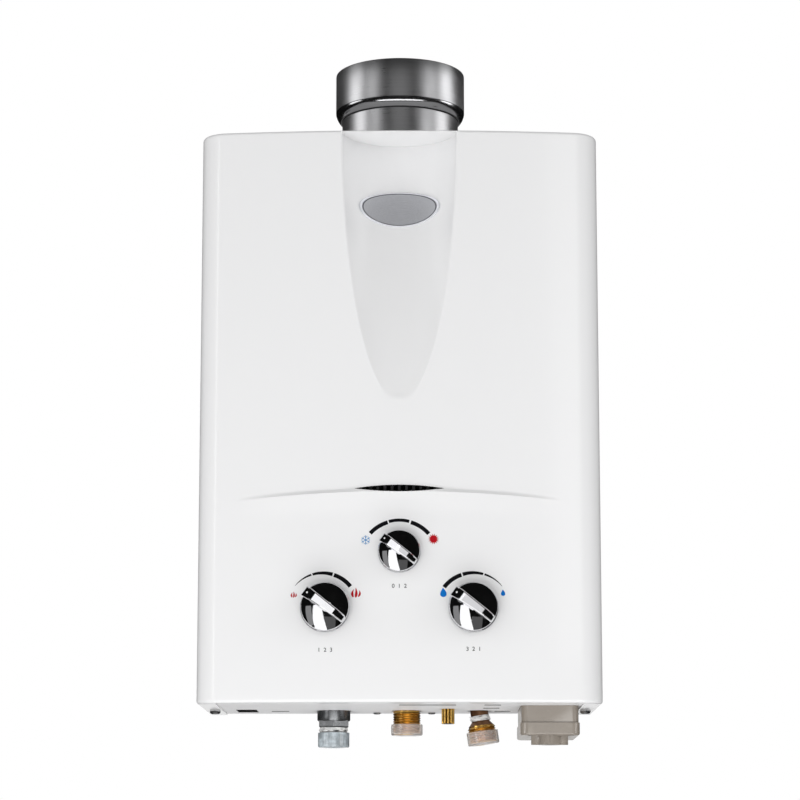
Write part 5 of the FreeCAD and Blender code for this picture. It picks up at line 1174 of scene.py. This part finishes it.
def cap(name, start, end):
    """Push-on cap along Z, open at its start, closed at its end, with a rounded rim."""
    edge = 1.2 * mm
    thick = 1.0 * mm
    inner = cap_radius - cap_wall
    profile = [(inner, start), (cap_radius - 0.1 * mm, start), (cap_radius, start + 0.15 * mm)]
    profile += [(cap_radius, z) for z in steps(start + 0.8 * mm, end - edge, 6)]
    for turn in [*steps(0.0, upright, 6), upright]:
        profile.append((cap_radius - edge + edge * math.cos(turn), end - edge + edge * math.sin(turn)))
    profile += [(0.6 * cap_radius, end), (0.57 * cap_radius, end - 0.3 * mm),
                (0.2 * cap_radius, end - 0.3 * mm), (0.19 * cap_radius, end - thick),
                (inner - 0.3 * mm, end - thick), (inner, end - thick - 0.3 * mm), (inner, start)]
    return turned(name, profile, 120)


def drops(node):
    """How far below the cabinet's foot a node starts and ends."""
    low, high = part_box(node)
    return cover_foot - high.z, cover_foot - low.z


def port_spot(node):
    """Where the axis of an upright port meets the cabinet's foot."""
    return Vector((middle(node).x, middle(node).y, cover_foot))


# Gas inlet: body, hexagon, taped thread, grey cap with faint ribs.
gas_spot = port_spot("gas_inlet_fitting")
gas_start, gas_end = drops("gas_inlet_fitting")
gas_bore = 6 * mm
body_drop, hex_drop, tape_drop = 6.9 * mm, 11.6 * mm, 15.5 * mm
body_radius, hex_half = 12.5 * mm, 11 * mm
body = bored("gas_body", gas_bore, [(body_radius, gas_start), (body_radius, body_drop - 1.2 * mm),
                                    (body_radius - 0.4 * mm, body_drop - 0.4 * mm),
                                    (body_radius - 1.4 * mm, body_drop)])
hexagon = bored("gas_hexagon", gas_bore, [(hex_half * flats, body_drop - 0.5 * mm),
                                          (hex_half * flats, hex_drop - 0.8 * mm),
                                          (hex_half + 0.2 * mm, hex_drop)], 6)
core = pipe_end("gas_core", gas_bore, hex_drop - 1 * mm, gas_end, 0.8 * mm)
fitting = joined("gas_fitting", body, hexagon, core, thread(hex_drop + 0.6 * mm, gas_end - 1 * mm))
hang(fitting, gas_spot, down, gas_casting, "gas_casting", "root", "gas_inlet_fitting")
windings = [(thread_crest + 0.25 * mm + 0.15 * mm * math.sin(i), z)
            for i, z in enumerate(steps(hex_drop + 0.1 * mm, tape_drop - 0.4 * mm, 14))]
tape = turned("gas_tape", [(thread_root, hex_drop), *windings, (thread_root, tape_drop - 0.4 * mm),
                           (thread_root, hex_drop)], 160)
crumpled(tape, 1.1 * mm, 260.0, 3.1)
hang(tape, gas_spot, down, ptfe_tape, "ptfe_tape", "root", "gas_seal_tape")
gas_cap = cap("gas_push_cap", *drops("gas_inlet_cap"))
fluted(gas_cap, 24, cap_radius - 0.2 * mm, 0.014 * cap_radius, 3)
hang(gas_cap, gas_spot, down, grey_cap, "grey_cap", "gas_cap", "gas_inlet_cap")

# Hot outlet: brass thread with a nut inside the cabinet, and a clear cap.
hot_spot = port_spot("hot_outlet_fitting")
hot_start, hot_end = drops("hot_outlet_fitting")
hot_bore = 8 * mm
nut_half, nut_height = 12 * mm, 7 * mm
core = pipe_end("hot_core", hot_bore, hot_start, hot_end, 0.9 * mm)
nut = bored("hot_nut", hot_bore, [(nut_half * flats, hot_start),
                                  (nut_half * flats, hot_start + nut_height)], 6)
fitting = joined("hot_fitting", core, nut, thread(-1 * mm, hot_end - 0.8 * mm))
hang(fitting, hot_spot, down, brass, "brass", "root", "hot_outlet_fitting")
hot_cap = cap("hot_push_cap", *drops("hot_outlet_cap"))
hang(hot_cap, hot_spot, down, clear_cap, "clear_cap", "hot_cap", "hot_outlet_cap")

# Cold inlet: leaning bronze neck with wound tape, cone, brass thread and clear cap.
cold_lean = math.radians(8)
cold_down = (math.sin(cold_lean), 0, -math.cos(cold_lean))
cold_radius, cold_bore = 6.8 * mm, 4.5 * mm
cold_start = -13 * mm
tape_start, tape_end = 2.6 * mm, 6.6 * mm
cone_start, cone_end = 7.6 * mm, 10.2 * mm
cold_cap_start, cold_cap_end = 14.6 * mm, 24.6 * mm
cold_end = cold_cap_end - 1.4 * mm
cold_spot = port_spot("cold_seal_tape")
cold_spot.x -= math.sin(cold_lean) * (tape_start + tape_end) / 2
neck = bored("cold_neck", cold_bore, [(cold_radius, cold_start), (cold_radius, cone_start - 0.4 * mm),
                                      (cold_radius + 0.4 * mm, cone_start),
                                      (thread_root - 0.4 * mm, cone_end - 0.2 * mm),
                                      (thread_root, cone_end + 0.2 * mm)])
hang(neck, cold_spot, cold_down, bronze, "bronze", "root", "cold_inlet_fitting")
core = pipe_end("cold_nose", cold_bore, cone_end, cold_end, 0.9 * mm)
nose = joined("cold_thread", core, thread(cone_end, cold_end - 0.8 * mm))
hang(nose, cold_spot, cold_down, brass, "brass", "root")
windings = [(cold_radius + 0.5 * mm + 0.2 * mm * math.sin(2.1 * i), z)
            for i, z in enumerate(steps(tape_start, tape_end, 14))]
tape = turned("cold_tape", [(cold_radius, tape_start), *windings, (cold_radius, tape_end),
                            (cold_radius, tape_start)], 160)
crumpled(tape, 1.3 * mm, 300.0, 8.7)
hang(tape, cold_spot, cold_down, ptfe_tape, "ptfe_tape", "root", "cold_seal_tape")
cold_cap = cap("cold_push_cap", cold_cap_start, cold_cap_end)
hang(cold_cap, cold_spot, cold_down, clear_cap, "clear_cap", "cold_cap", "cold_inlet_cap")

# ---- Drain screw ---------------------------------------------------------------------------------
# A fluted brass thumb screw that drains the water valve, with a coin slot across its lower end.
low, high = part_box("drain_knob")
drain_spot = (middle("drain_knob").x, middle("drain_knob").y, high.z)
drain_radius = (high.x - low.x) / 2
drain_length = high.z - low.z
flutes, flute_depth = 10, 1.1 * mm
drain = turned("drain_screw", [(0.35 * drain_radius, 0), (0.9 * drain_radius, 0), (drain_radius, 0.5 * mm)]
               + [(drain_radius, z) for z in steps(1 * mm, drain_length - 0.6 * mm, 6)]
               + [(drain_radius, drain_length - 0.5 * mm), (0.9 * drain_radius, drain_length),
                  (0.35 * drain_radius, drain_length)], flutes * 16)
fluted(drain, flutes, 0.8 * drain_radius, flute_depth, 2)
saw(drain, drain_length, (1.2 * drain_radius, 0.8 * mm, 1.4 * mm))
drain_brass, place = finish("drain_brass", brass_colour, 0.2, Metallic=1.0)
from_axis = place.vector("SUBTRACT", drain_spot).vector("MULTIPLY", (1, 1, 0)).vector("LENGTH")
# Painted shade: the grooves of the flutes are painted dark, the ridges a lighter brass.
painted_groove_shade = from_axis.between(drain_radius - 0.8 * flute_depth, drain_radius - 0.2 * flute_depth)
feed(drain_brass, Base_Color=tint(painted_groove_shade, scaled(brass_colour, 0.16), scaled(brass_colour, 1.1)),
     Roughness=grain(place, 700.0) * 0.12 + 0.2)
fit(set_down(drain, drain_spot, down), drain_brass, "brass", "drain_head", "drain_knob", light=for_ports)

# ---- Battery case --------------------------------------------------------------------------------
# Moulded in taupe plastic: an open box for two cells, whose lid hangs on a pin at the back and snaps shut
# with a barrel-shaped latch. The mouldings have soft edges and a fine spark-eroded grain.
taupe = (0.30, 0.262, 0.222)
taupe_plastic, place = finish("taupe_plastic", taupe, 0.34, Coat_Weight=0.4, Coat_Roughness=0.16)
erosion = grain(place, 1600.0, 2.0)
scuffs = grain(place, 120.0, 4.0).between(0.55, 0.75)
feed(taupe_plastic, Base_Color=tint(erosion * 0.5 + scuffs * 0.5, scaled(taupe, 0.88), scaled(taupe, 1.2)),
     Roughness=erosion * 0.12 + scuffs * 0.1 + 0.26, Normal=relief(erosion, 0.012 * mm))
for node in ("battery_case", "battery_lid"):
    skin(node, taupe_plastic, "_moulding", 40, for_ports)
